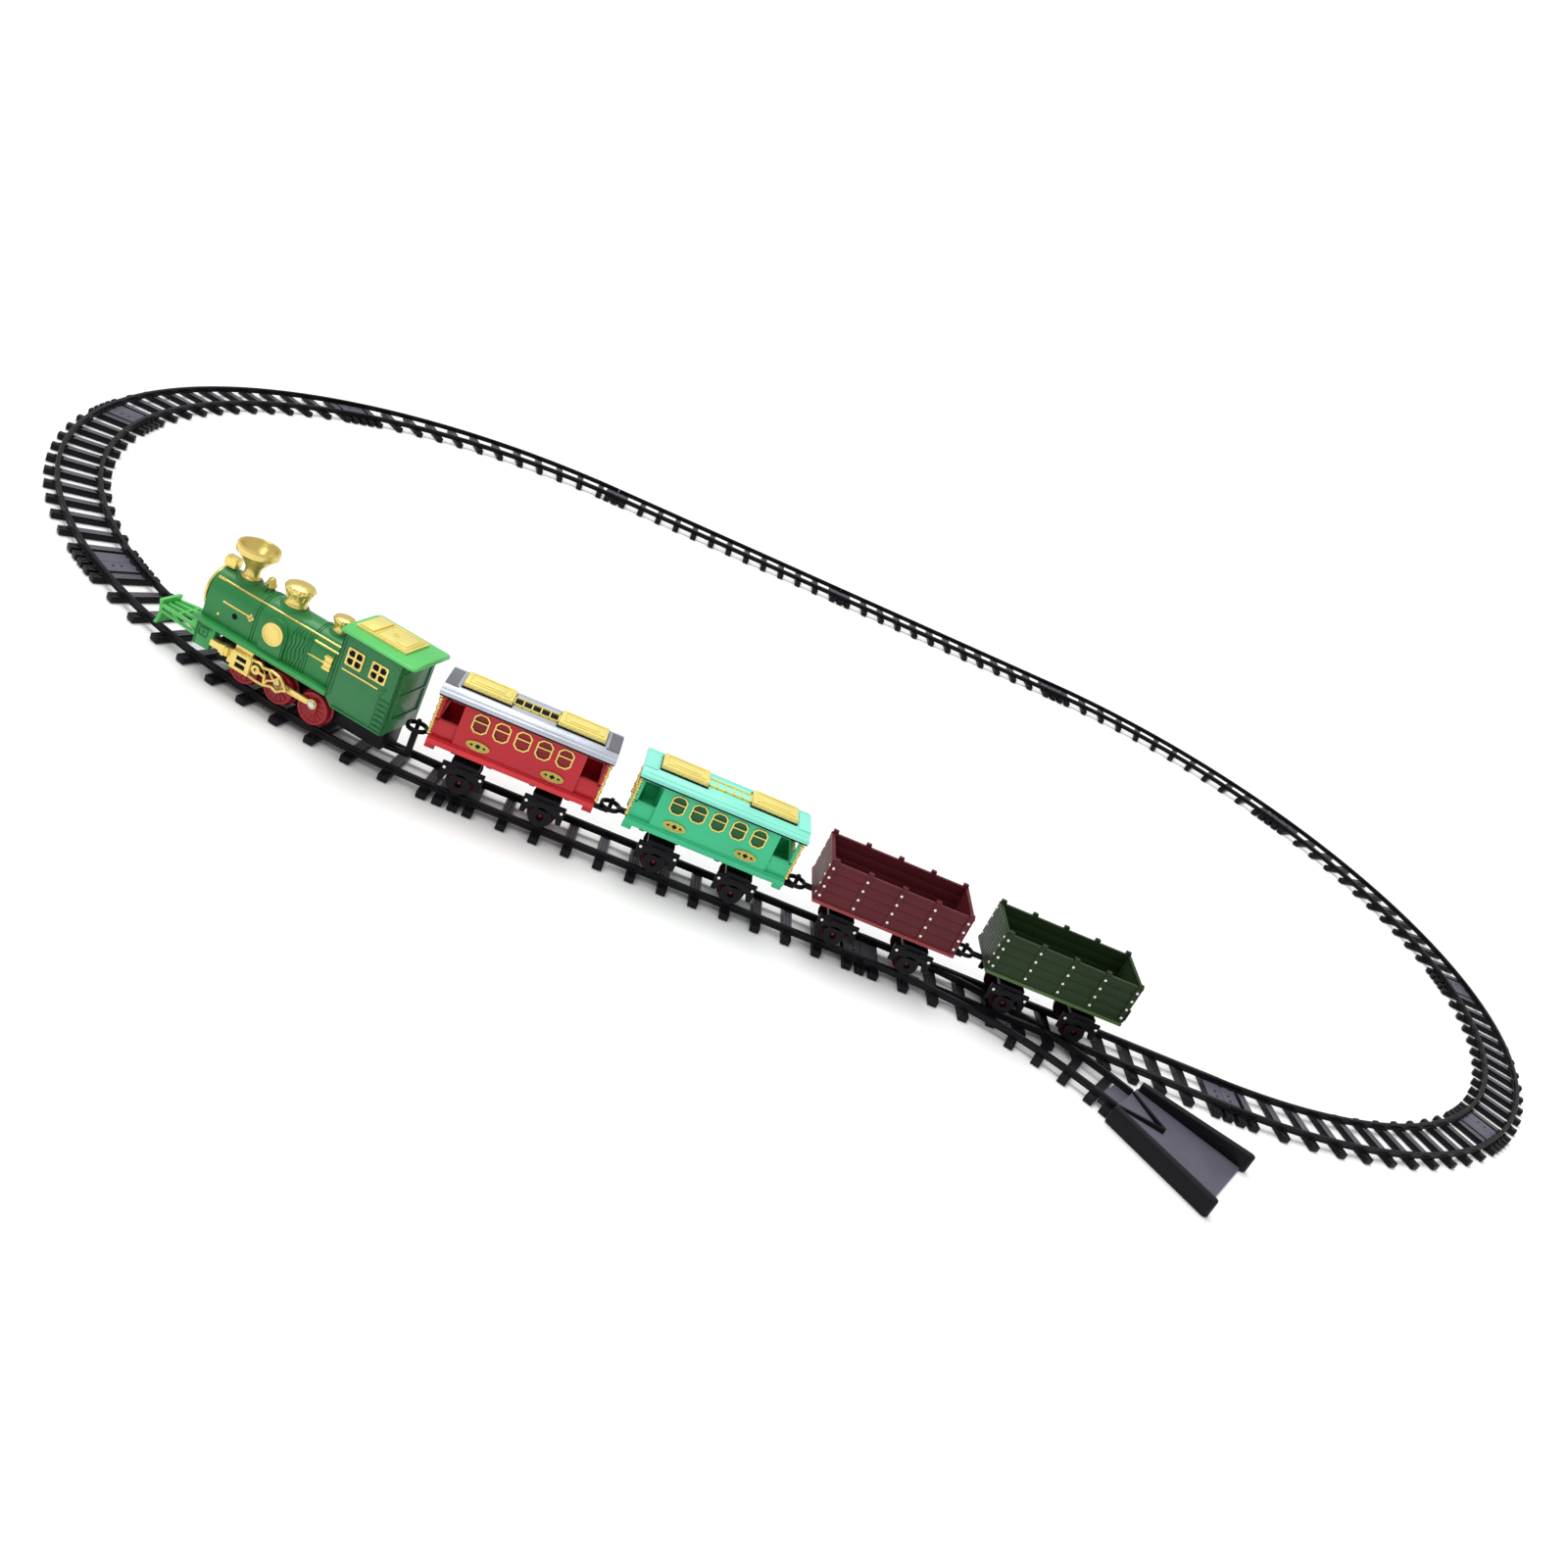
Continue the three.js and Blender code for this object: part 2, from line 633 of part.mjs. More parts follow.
function buildCar(car, index) {
  const group = new THREE.Group();
  group.position.set(car.x, -CURVE_R, 0);
  const axleZ = RAIL_TOP + WHEEL_GAP + CAR_WHEEL_R;
  if (car.kind === "coach") {
    const roof = car.name === "red" ? "silver" : "aqua";
    group.add(meshOf(car.name + "_coach_body", coachBody(), car.name));
    group.add(meshOf(car.name + "_coach_roof", coachRoof(), roof));
    group.add(meshOf(car.name + "_coach_roof_vents", coachVents(), "gold"));
  } else {
    group.add(meshOf(car.name + "_gondola_body", gondolaBody(), car.name));
  }
  for (const [end, word] of [
    [-1, "front"],
    [1, "rear"],
  ]) {
    const body = truck(end, couplingReach(index, end), end < 0);
    const frame = meshOf(car.name + "_" + word + "_truck", body, "black");
    frame.position.x = end * TRUCK_X;
    group.add(frame);
    const wheels = wheelset(CAR_WHEEL_R, 7.4, 8.3, 12.8, 12);
    const mesh = meshOf(car.name + "_" + word + "_wheelset", wheels, "wagonWheel");
    mesh.position.set(end * TRUCK_X, 0, axleZ);
    group.add(mesh);
  }
  return group;
}

// Distance from a truck's pivot to the point where it meets the next vehicle's coupler.
function couplingReach(index, end) {
  const car = CARS[index];
  const next = CARS[index + end];
  const edge = car.x + end * car.half;
  if (end < 0 && index === 0) return Math.abs(drawbarPin().x - (car.x - TRUCK_X));
  if (!next) return car.half - TRUCK_X + 8.5;
  const middle = (edge + next.x - end * next.half) / 2;
  return Math.abs(middle - (car.x + end * TRUCK_X));
}

// ---------------------------------------------------------------- locomotive
function locoFrame() {
  const a = THREE.MathUtils.degToRad(LOCO_ANGLE);
  const r = CURVE_R - LOCO_INSET;
  const x = -STRAIGHT + r * Math.cos(a);
  return jointFrame(x, r * Math.sin(a), a - Math.PI / 2);
}

// Where the drawbar's pin stands: level with the train's centre line behind the pivot.
function drawbarPin() {
  const pivot = new THREE.Vector3(DRAWBAR_X, 0, 0).applyMatrix4(locoFrame());
  const side = -CURVE_R - pivot.y;
  return new THREE.Vector3(pivot.x + Math.sqrt(DRAWBAR_L ** 2 - side ** 2), -CURVE_R, 0);
}

// Boiler with a rounded top and straight sides, and the cab's walls, in one moulding.
function locoShell() {
  const z0 = RUN_BOARD_Z + 2;
  const arch = (r, bottom) => {
    const shape = new THREE.Shape();
    shape.moveTo(-r, bottom);
    shape.lineTo(r, bottom);
    shape.lineTo(r, BOILER_Z);
    shape.absarc(0, BOILER_Z, r, 0, Math.PI, false);
    return shape;
  };
  const boiler = prismX(arch(BOILER_R, z0), CAB_X1 - 1, 51, 4);
  const bore = prismX(arch(BOILER_R - 1.6, z0 - 1), CAB_X1 - 3, 49.4, 4);
  const parts = [boiler];
  for (const x of [22.5, -3, -23]) {
    parts.push(prismX(arch(BOILER_R + 0.5, z0), x - 0.6, x + 0.6, 4));
  }
  for (const [x, r] of [[38.5, 5.4], [27, 2.2], [11.6, 5.8], [-15.2, 4.4]]) {
    parts.push(pegZ(r, x, 0, BOILER_Z + 4, FITTING_Z, 10));
  }
  for (const side of [-1, 1]) {
    const pod = new THREE.Shape();
    pod.moveTo(3.5, z0);
    pod.lineTo(17.5, z0);
    pod.lineTo(17.5, 41);
    pod.absarc(10.5, 41, 7, 0, Math.PI, false);
    const y0 = side > 0 ? 10 : -12.9;
    parts.push(prismY(pod, y0, y0 + 2.9, 4));
    const disc = side > 0 ? 12.5 : -13.6;
    parts.push(pegY(5.6, 10.5, 40, disc, disc + 1.1, 12));
  }
  const walls = outline([
    [CAB_X0, 23.5],
    [CAB_X1, 27.2],
    [CAB_X1, CAB_TOP],
    [CAB_X0, CAB_TOP],
  ]);
  const inside = box(CAB_X0 + 1.5, CAB_X1 - 1.5, -CAB_Y + 1.5, CAB_Y - 1.5, 20, CAB_TOP + 1);
  const tools = [bore];
  for (const side of [-1, 1]) {
    for (const x of [-35, -48.5]) {
      const shape = windowOutline(x, 52.5, 4, 4, 0.8);
      const y0 = side > 0 ? CAB_Y - 0.6 : -CAB_Y - 1;
      tools.push(prismY(shape, y0, y0 + 1.6));
    }
  }
  const cab = prismY(walls, -CAB_Y, CAB_Y).subtract(inside);
  return cut(union([...parts, cab]), tools);
}

function cabRoof() {
  const y = 17;
  const z = CAB_TOP;
  const section = outline([
    [-y, z],
    [y, z],
    [y, z + 0.9],
    [11, z + 2.6],
    [-11, z + 2.6],
    [-y, z + 0.9],
  ]);
  const hatchway = box(-53.2, -29, -9, 9, z - 1, z + 4);
  return prismX(section, -65.5, -24).subtract(hatchway);
}

// Battery door in the roof: a broad rim, two raised panels and a screw hole.
function roofHatch() {
  const z = CAB_TOP + 2.6;
  const parts = [
    box(-55.5, -27, -10.4, 10.4, z, z + 1.2),
    box(-54, -39.5, -9, 9, z + 1, z + 1.9),
    box(-38.5, -28.5, -9, 9, z + 1, z + 1.9),
    box(-52.8, -29.4, -8.6, 8.6, z - 1, z + 0.5),
  ];
  return union(parts).subtract(pegZ(0.9, -43, 0, z - 3, z + 4, 10));
}

// Running board round the boiler, with the deep buffer beam at its front.
function runningBoard() {
  const z = RUN_BOARD_Z;
  const parts = [
    box(CAB_X1 + 0.3, 53, -15.2, 15.2, z, z + 2),
    box(40, 49.5, -15.2, 15.2, 15, z + 0.5),
  ];
  const well = box(-24, 46, -9.7, 9.7, z - 1, z + 3);
  const recess = box(39, 47.5, -12, 12, 14, z - 2);
  return cut(union(parts), [well, recess]);
}

// Openwork pilot: a sloping frame that narrows to an upright blade.
function cowcatcher() {
  const plan = (w0, w1, x0, x1) =>
    outline([
      [x0, -w0],
      [x1, -w1],
      [x1, w1],
      [x0, w0],
    ]);
  const slab = prismZ(plan(11, 6.5, 49.8, 77), 17, 20);
  const holes = [];
  for (const [x0, x1] of [
    [52.5, 59.5],
    [61.5, 68],
    [70, 74.5],
  ]) {
    const w = (x) => 11 - ((x - 49.8) / 27.2) * 4.5 - 2;
    for (const side of [-1, 1]) {
      const ring = [
        [x0, side * 0.9],
        [x1, side * 0.9],
        [x1, side * w(x1)],
        [x0, side * w(x0)],
      ];
      holes.push(prismZ(outline(side > 0 ? ring : ring.reverse()), 16, 21));
    }
  }
  const blade = prismX(
    outline([
      [-8, 9],
      [8, 9],
      [5.6, 14],
      [7.4, 22],
      [-7.4, 22],
      [-5.6, 14],
    ]),
    76,
    78,
  );
  return union([cut(slab, holes), blade]);
}

function smokestack() {
  const profile = [
    [0, 0],
    [5, 0],
    [4, 2.4],
    [3.7, 6],
    [9.4, 13.5],
    [10.4, 14.5],
    [10.4, 17.2],
    [8.8, 17.2],
    [2.4, 8],
    [0, 8],
  ];
  return turnedZ(profile, 38.5, 0, FITTING_Z, 16);
}

function dome(x, r, height) {
  const profile = [
    [0, 0],
    [r * 0.75, 0],
    [r * 0.62, height * 0.25],
    [r * 0.9, height * 0.62],
    [r, height * 0.74],
    [r, height * 0.9],
    [r * 0.6, height],
    [0, height],
  ];
  return turnedZ(profile, x, 0, FITTING_Z, 16);
}

function bell() {
  const profile = [
    [0, 0],
    [1.2, 0],
    [1.2, 2.2],
    [3, 2.2],
    [2.4, 4.2],
    [1.6, 6],
    [0, 6.4],
  ];
  return turnedZ(profile, 27, 0, FITTING_Z, 12);
}

// Lamp on the smokebox front: a rim round the front, a stalk and the lamp's case.
function headlamp() {
  const ring = pegX(11.9, 0, 41.3, 51.3, 52.6, 16);
  const stalk = box(50, 52.6, -1.2, 1.2, 51, 55);
  const lamp = pegX(3.1, 0, 57, 45.6, 52.6, 12);
  const hood = box(45.6, 52.6, -1.6, 1.6, 54.2, 58);
  const glass = pegX(2.3, 0, 57, 51.8, 54, 12);
  return cut(union([ring, stalk, lamp, hood]), [glass, box(44, 51.3, -13, 13, 28, 53.35)]);
}

// Black underframe between the wheels, with axle bores, battery well and switch slot.
function chassis() {
  const axleZ = RAIL_TOP + WHEEL_GAP + DRIVER_R;
  const parts = [
    box(-28, 39.6, -7.2, 7.2, CHASSIS_Z, 26.7),
    box(-57.8, -27.9, -7.9, 7.9, 12.4, 26.7),
    pegZ(1.1, DRAWBAR_X, 0, 9.4, 13, 12),
  ];
  const tools = [
    box(-57.1, -28.8, -7.05, 7.05, 13.4, 28),
    box(4, 16, -2.3, 2.3, CHASSIS_Z - 1, 12.4),
  ];
  for (const x of DRIVER_X) tools.push(pegY(AXLE_R + 0.35, x, axleZ, -10, 10, 12));
  return cut(union(parts), tools);
}

// Swinging drawbar under the cab, turned up at its end to meet the coach; +X leads to the pin.
function drawbar() {
  const parts = [
    pegZ(3, 0, 0, 9.8, 12, 12),
    box(0, DRAWBAR_L + 1.6, -1.6, 1.6, 9.8, 12),
    box(DRAWBAR_L - 1.6, DRAWBAR_L + 1.6, -1.6, 1.6, 9.8, COUPLER_Z + 1.6),
    pegZ(HOOK_R, DRAWBAR_L, 0, COUPLER_Z, COUPLER_Z + 8, 10),
  ];
  return union(parts).subtract(pegZ(1.4, 0, 0, 9, 13, 12));
}

// Driving wheels; those joined by the side rods have crank pins standing out on both sides.
function drivers(cranked) {
  const wheels = wheelset(DRIVER_R, 9.4, 8.1, 12.7, 16);
  if (!cranked) return wheels;
  const pins = [-1, 1].map((side) => {
    const y0 = side > 0 ? 12 : -15.1;
    return pegY(1.1, 0, CRANK, y0, y0 + 3.1, 10);
  });
  return union([wheels, ...pins]);
}

// Side rod between the middle and rear crank pins.
function sideRod(side) {
  const y0 = side > 0 ? 13.4 : -14.7;
  const span = DRIVER_X[1] - DRIVER_X[2];
  const parts = [
    box(0, span, y0, y0 + 1.3, -1.3, 1.3),
    pegY(2.3, 0, 0, y0, y0 + 1.3, 10),
    pegY(2.3, span, 0, y0, y0 + 1.3, 10),
  ];
  return cut(union(parts), [
    pegY(1.35, 0, 0, y0 - 1, y0 + 3, 10),
    pegY(1.35, span, 0, y0 - 1, y0 + 3, 10),
  ]);
}

// Cylinder casting with its rod cover and the fixed valve-gear link behind it.
function cylinder(side) {
  const flip = (y0, y1) => (side > 0 ? [y0, y1] : [-y1, -y0]);
  const [b0, b1] = flip(13.2, 17.2);
  const [t0, t1] = flip(13.2, 15);
  const [g0, g1] = flip(15.6, 16.8);
  const [f0, f1] = flip(15.8, 17.6);
  const link = new THREE.Shape();
  link.moveTo(14.5, 23);
  link.lineTo(4, 24);
  link.lineTo(-6, 21.5);
  link.lineTo(-7.5, 18.5);
  link.lineTo(-4, 16);
  link.lineTo(6, 14.5);
  link.lineTo(14.5, 17);
  const slot = outline([
    [11.5, 20.8],
    [4, 22.2],
    [1.5, 18.8],
    [6, 16.6],
    [11.5, 18.4],
  ]);
  const parts = [
    box(13.5, 28.5, b0, b1, 14.5, 23.5),
    box(15, 27, f0, f1, 16, 22),
    box(28, 39, b0, b1, 19.4, 22.8),
    box(16, 26, t0, t1, 23, RUN_BOARD_Z),
    prismY(link, g0, g1),
  ];
  const h0 = Math.min(g0, g1) - 1;
  return union(parts).subtract(prismY(slot, h0, h0 + 3.4));
}

function motor() {
  const parts = [pegX(5.8, 0, 33, -13, 11, 16), box(-11, 9, -5, 5, 26.7, 31)];
  parts.push(pegX(1, 0, 33, 11, 15, 8));
  return union(parts);
}

// Round cell standing on end in the battery well.
function batteryCell(x) {
  const profile = [
    [0, 13.6],
    [6.9, 13.6],
    [6.9, 62.4],
    [2.4, 62.4],
    [2.4, 63.6],
    [0, 63.6],
  ];
  return turnedZ(profile, x, 0, 0, 14);
}

function powerSwitch() {
  return union([box(7.5, 12.5, -1.9, 1.9, 9.9, 12), box(9, 11, -1.2, 1.2, 8.4, 10.4)]);
}

function buildLoco() {
  const group = new THREE.Group();
  group.applyMatrix4(locoFrame());
  const axleZ = RAIL_TOP + WHEEL_GAP + DRIVER_R;
  group.add(meshOf("loco_body_shell", locoShell(), "loco"));
  group.add(meshOf("cab_roof", cabRoof(), "trim"));
  group.add(meshOf("roof_hatch", roofHatch(), "gold"));
  group.add(meshOf("running_board", runningBoard(), "trim"));
  group.add(meshOf("cowcatcher", cowcatcher(), "trim"));
  group.add(meshOf("smokestack", smokestack(), "gold"));
  group.add(meshOf("steam_dome", dome(11.6, 7.2, 11.5), "gold"));
  group.add(meshOf("sand_dome", dome(-15.2, 5.2, 8), "gold"));
  group.add(meshOf("bell", bell(), "gold"));
  group.add(meshOf("headlamp", headlamp(), "gold"));
  group.add(meshOf("loco_chassis", chassis(), "black"));
  group.add(meshOf("drive_motor", motor(), "steel"));
  group.add(meshOf("front_battery_cell", batteryCell(-36), "steel"));
  group.add(meshOf("rear_battery_cell", batteryCell(-50), "steel"));
  group.add(meshOf("power_switch", powerSwitch(), "black"));
  ["front", "middle", "rear"].forEach((word, i) => {
    const mesh = meshOf(word + "_driving_wheels", drivers(i > 0), "wheel");
    mesh.position.set(DRIVER_X[i], 0, axleZ);
    group.add(mesh);
  });
  for (const [side, word] of [
    [1, "left"],
    [-1, "right"],
  ]) {
    const rod = meshOf(word + "_side_rod", sideRod(side), "gold");
    rod.position.set(DRIVER_X[2], 0, axleZ + CRANK);
    group.add(rod);
    group.add(meshOf(word + "_cylinder", cylinder(side), "gold"));
  }
  return group;
}

function buildDrawbar() {
  const pivot = new THREE.Vector3(DRAWBAR_X, 0, 0).applyMatrix4(locoFrame());
  const pin = drawbarPin();
  const mesh = meshOf("drawbar", drawbar(), "black");
  mesh.position.set(pivot.x, pivot.y, 0);
  mesh.rotation.z = Math.atan2(pin.y - pivot.y, pin.x - pivot.x);
  return mesh;
}

// ---------------------------------------------------------------- whole set
const root = new THREE.Group();
const set = new THREE.Group();
root.add(set);
set.add(buildTrack(), buildLoco(), buildDrawbar());
CARS.forEach((car, index) => set.add(buildCar(car, index)));
set.updateMatrixWorld(true);

// The origin is the middle of the whole set's footprint, on the floor.
const extent = new THREE.Box3().setFromObject(set, true);
set.position.x = -(extent.min.x + extent.max.x) / 2;
set.position.y = -(extent.min.y + extent.max.y) / 2;

export default root;
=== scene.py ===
"""Looks for the toy train set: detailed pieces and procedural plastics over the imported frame.

Each vehicle is built in its own frame, in millimetres: x forward (the wagons' x runs back
along the straight), y to the side, z up from the floor. A placing matrix takes it to metres.
"""
import json
import math

import bmesh
import bpy
from mathutils import Matrix, Vector


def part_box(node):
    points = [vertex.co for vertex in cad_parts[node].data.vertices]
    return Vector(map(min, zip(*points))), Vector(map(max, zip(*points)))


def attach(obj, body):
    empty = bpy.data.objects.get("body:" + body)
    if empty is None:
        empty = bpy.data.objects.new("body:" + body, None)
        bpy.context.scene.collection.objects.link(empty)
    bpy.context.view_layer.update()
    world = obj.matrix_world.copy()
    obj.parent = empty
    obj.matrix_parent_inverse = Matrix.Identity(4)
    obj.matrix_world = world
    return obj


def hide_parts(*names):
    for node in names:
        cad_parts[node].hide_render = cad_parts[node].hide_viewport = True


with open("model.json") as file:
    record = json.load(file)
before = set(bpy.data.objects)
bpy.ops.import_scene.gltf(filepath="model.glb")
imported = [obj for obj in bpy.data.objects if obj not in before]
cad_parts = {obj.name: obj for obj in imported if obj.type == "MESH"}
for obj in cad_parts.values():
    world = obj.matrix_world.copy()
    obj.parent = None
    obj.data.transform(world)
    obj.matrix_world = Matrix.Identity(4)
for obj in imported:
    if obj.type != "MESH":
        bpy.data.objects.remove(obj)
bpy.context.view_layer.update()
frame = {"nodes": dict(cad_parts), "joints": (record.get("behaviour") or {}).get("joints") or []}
joints = {joint["name"]: joint for joint in frame["joints"]}

MM = 0.001
RAIL_TOP = 7.0
SLEEPER_TOP = 3.5
RAIL_Y = 11.3
CURVE_R = 305.0
SLEEPER_HALF = 17.8
CAR_AXLE_Z = 13.7
DRIVER_Z = 15.7
FLOOR_Z = 28.5
FITTING_Z = 53.6
BOILER_R = 11.3
BOILER_Z = 42.0
CAB_TOP = 62.5
EAVE_Z = 55.6


# ------------------------------------------------------------------ placing
def span(side, a, b):
    """Low and high end of a..b, mirrored when side is -1."""
    return sorted((side * a, side * b))


def link(obj):
    bpy.context.scene.collection.objects.link(obj)


def joint_point(name):
    return Vector(joints[name]["pos_m"])


def placing(origin, forward):
    """Matrix from a local millimetre frame on the floor to the row frame in metres."""
    forward = Vector((forward[0], forward[1], 0)).normalized()
    side = Vector((-forward.y, forward.x, 0))
    matrix = Matrix.Identity(4)
    for row in range(3):
        matrix[row][0] = forward[row] * MM
        matrix[row][1] = side[row] * MM
        matrix[row][2] = MM if row == 2 else 0.0
        matrix[row][3] = origin[row]
    return matrix


def turned(matrix, x, y, degrees):
    turn = Matrix.Rotation(math.radians(degrees), 4, "Z")
    return matrix @ Matrix.Translation((x, y, 0)) @ turn


curve_centre = joint_point("train_run")
middle_axle = joint_point("middle_drivers_turn")
loco_left = Vector(joints["middle_drivers_turn"]["axis"])
LOCO = placing((middle_axle.x, middle_axle.y, 0), (loco_left.y, -loco_left.x))


def car_placing(name):
    front = joint_point(name + "_front_swivel")
    rear = joint_point(name + "_rear_swivel")
    middle = (front + rear) / 2
    return placing((middle.x, middle.y, 0), (1, 0))


# ------------------------------------------------------------------ materials
def colour(red, green, blue):
    """An sRGB colour of 0 to 255 as linear RGBA."""
    def linear(value):
        value /= 255
        return value / 12.92 if value <= 0.04045 else ((value + 0.055) / 1.055) ** 2.4
    return (linear(red), linear(green), linear(blue), 1.0)


def shade(rgba, factor):
    return tuple(min(1.0, c * factor) for c in rgba[:3]) + (1.0,)


def plastic(name, rgba, roughness=0.35, mottle=0.12, grain=0.12, grain_size=0.0006,
            metallic=0.0, coat=0.0, wear=0.25, wear_tint=1.6, specular=0.3):
    """Moulded plastic: drifting tone, uneven gloss, fine surface grain and rubbed edges."""
    material = bpy.data.materials.new(name)
    material.use_nodes = True
    nodes = material.node_tree.nodes
    links = material.node_tree.links
    shader = nodes["Principled BSDF"]
    shader.inputs["Metallic"].default_value = metallic
    shader.inputs["Specular IOR Level"].default_value = specular
    shader.inputs["Coat Weight"].default_value = coat
    shader.inputs["Coat Roughness"].default_value = 0.15
    place = nodes.new("ShaderNodeTexCoord")

    cloud = nodes.new("ShaderNodeTexNoise")
    cloud.inputs["Scale"].default_value = 45
    cloud.inputs["Detail"].default_value = 4
    links.new(place.outputs["Object"], cloud.inputs["Vector"])
    tone = nodes.new("ShaderNodeValToRGB")
    tone.color_ramp.elements[0].position = 0.3
    tone.color_ramp.elements[1].position = 0.7
    tone.color_ramp.elements[0].color = shade(rgba, 1 - mottle)
    tone.color_ramp.elements[1].color = shade(rgba, 1 + mottle)
    links.new(cloud.outputs["Fac"], tone.inputs["Fac"])

    point = nodes.new("ShaderNodeNewGeometry")
    edge = nodes.new("ShaderNodeMapRange")
    edge.inputs["From Min"].default_value = 0.52
    edge.inputs["From Max"].default_value = 0.62
    edge.inputs["To Max"].default_value = wear
    links.new(point.outputs["Pointiness"], edge.inputs["Value"])
    worn = nodes.new("ShaderNodeMix")
    worn.data_type = "RGBA"
    worn.inputs["B"].default_value = shade(rgba, wear_tint)
    links.new(edge.outputs["Result"], worn.inputs["Factor"])
    links.new(tone.outputs["Color"], worn.inputs["A"])
    links.new(worn.outputs["Result"], shader.inputs["Base Color"])

    smear = nodes.new("ShaderNodeTexNoise")
    smear.inputs["Scale"].default_value = 130
    smear.inputs["Detail"].default_value = 5
    links.new(place.outputs["Object"], smear.inputs["Vector"])
    gloss = nodes.new("ShaderNodeMapRange")
    gloss.inputs["To Min"].default_value = max(0.05, roughness - 0.1)
    gloss.inputs["To Max"].default_value = min(1.0, roughness + 0.12)
    links.new(smear.outputs["Fac"], gloss.inputs["Value"])
    links.new(gloss.outputs["Result"], shader.inputs["Roughness"])

    fine = nodes.new("ShaderNodeTexNoise")
    fine.inputs["Scale"].default_value = 1 / grain_size
    fine.inputs["Detail"].default_value = 3
    links.new(place.outputs["Object"], fine.inputs["Vector"])
    bump = nodes.new("ShaderNodeBump")
    bump.inputs["Strength"].default_value = grain
    bump.inputs["Distance"].default_value = 0.00025
    links.new(fine.outputs["Fac"], bump.inputs["Height"])
    links.new(bump.outputs["Normal"], shader.inputs["Normal"])
    return material


TRACK = plastic("track_black", colour(17, 16, 20), 0.38, grain=0.3, wear=0.25, wear_tint=3.0,
                specular=0.12)
# Painted highlight: a paler grey for the sleepers' tops than their black sides, for the light on
# the tops.
SLEEPER = plastic("sleeper_top_highlight_grey", colour(88, 84, 92), 0.42, 0.3, 0.7, 0.0009, specular=0.35)
PLATE = plastic("plate_grey", colour(86, 83, 96), 0.44, 0.14, 0.4, 0.0008, specular=0.25)
GREEN = plastic("loco_green", colour(40, 124, 64), 0.3, coat=0.15)
CAB_GREEN = plastic("cab_green", colour(44, 116, 66), 0.34, coat=0.1)
# Painted highlight: the running board takes a lighter copy of the loco green, for the light on it.
LIT_BOARD_GREEN = plastic("board_green_lit", colour(50, 148, 76), 0.28, coat=0.25)
BRIGHT = plastic("trim_green", colour(88, 190, 98), 0.32, coat=0.15)
GOLD = plastic("gold_plating", colour(232, 208, 122), 0.27, 0.12, 0.35, 0.0011, metallic=0.75,
               wear=0.35, wear_tint=1.25)
GOLD_PAINT = plastic("gold_paint", colour(232, 216, 128), 0.4, 0.1, 0.3, 0.0011, metallic=0.2,
                     wear=0.3, wear_tint=1.2)
OLIVE_GOLD = plastic("plate_gold", colour(198, 182, 94), 0.4, 0.14, 0.3, metallic=0.2)
BLACK = plastic("black_moulding", colour(14, 13, 17), 0.38, grain=0.25, wear=0.25, wear_tint=3.5,
                specular=0.13)
# Black for printed marks and the red coach's grille, and for painted shade: strips, slots, window
# panes and the stack's mouth, where shade falls.
DARK = plastic("black_paint_and_painted_shade", colour(13, 13, 15), 0.6, specular=0.1)
WHEEL = plastic("wheel_red", colour(150, 22, 34), 0.32, coat=0.15)
# Painted shade: the wagons' wheel red is a darker copy of the wheel red, for the shade under the
# truck frames; their hub caps keep the wheel red.
SHADED_WAGON_WHEEL = plastic("wagon_wheel_red", colour(54, 10, 17), 0.38, specular=0.12)
RED = plastic("coach_red", colour(180, 26, 38), 0.3, 0.08, coat=0.15)
RED_EDGE = plastic("sill_red", colour(208, 40, 50), 0.3, 0.08, coat=0.2)
RED_PANE = plastic("pane_red", colour(134, 16, 26), 0.2, 0.45)
SILVER = plastic("roof_silver", colour(186, 191, 202), 0.34, 0.16, 0.3, metallic=0.35)
ROOF_END = plastic("roof_end_grey", colour(104, 104, 110), 0.4, 0.16, 0.3)
TEAL = plastic("coach_teal", colour(56, 186, 132), 0.3, 0.08, coat=0.15)
TEAL_PANE = plastic("pane_green", colour(16, 88, 44), 0.2, 0.3)
AQUA = plastic("roof_aqua", colour(136, 228, 204), 0.32, 0.06, coat=0.15)
MAROON = plastic("gondola_maroon", colour(90, 33, 39), 0.4, 0.1, 0.3, specular=0.16)
MAROON_EDGE = plastic("ledge_maroon", colour(140, 55, 60), 0.35, 0.1, 0.3)
OLIVE = plastic("gondola_green", colour(38, 54, 30), 0.4, 0.12, 0.3, specular=0.16)
OLIVE_EDGE = plastic("ledge_green", colour(72, 98, 54), 0.35, 0.1, 0.3)
STEEL = plastic("steel", colour(215, 215, 220), 0.22, 0.06, 0.2, metallic=0.9)
# Near white: the gondolas' rivet heads, and painted highlight on the truck frames' knobs.
RIVET_AND_GLINT = plastic("rivet_and_glint_pale", colour(253, 250, 240), 0.25, 0.03, 0.1, metallic=0.1)
CELL = plastic("cell_case", colour(170, 172, 178), 0.3, metallic=0.7)
COPPER = plastic("motor_can", colour(168, 168, 174), 0.28, metallic=0.9)
LENS = plastic("lamp_lens", colour(240, 236, 220), 0.12, 0.04, coat=0.6)


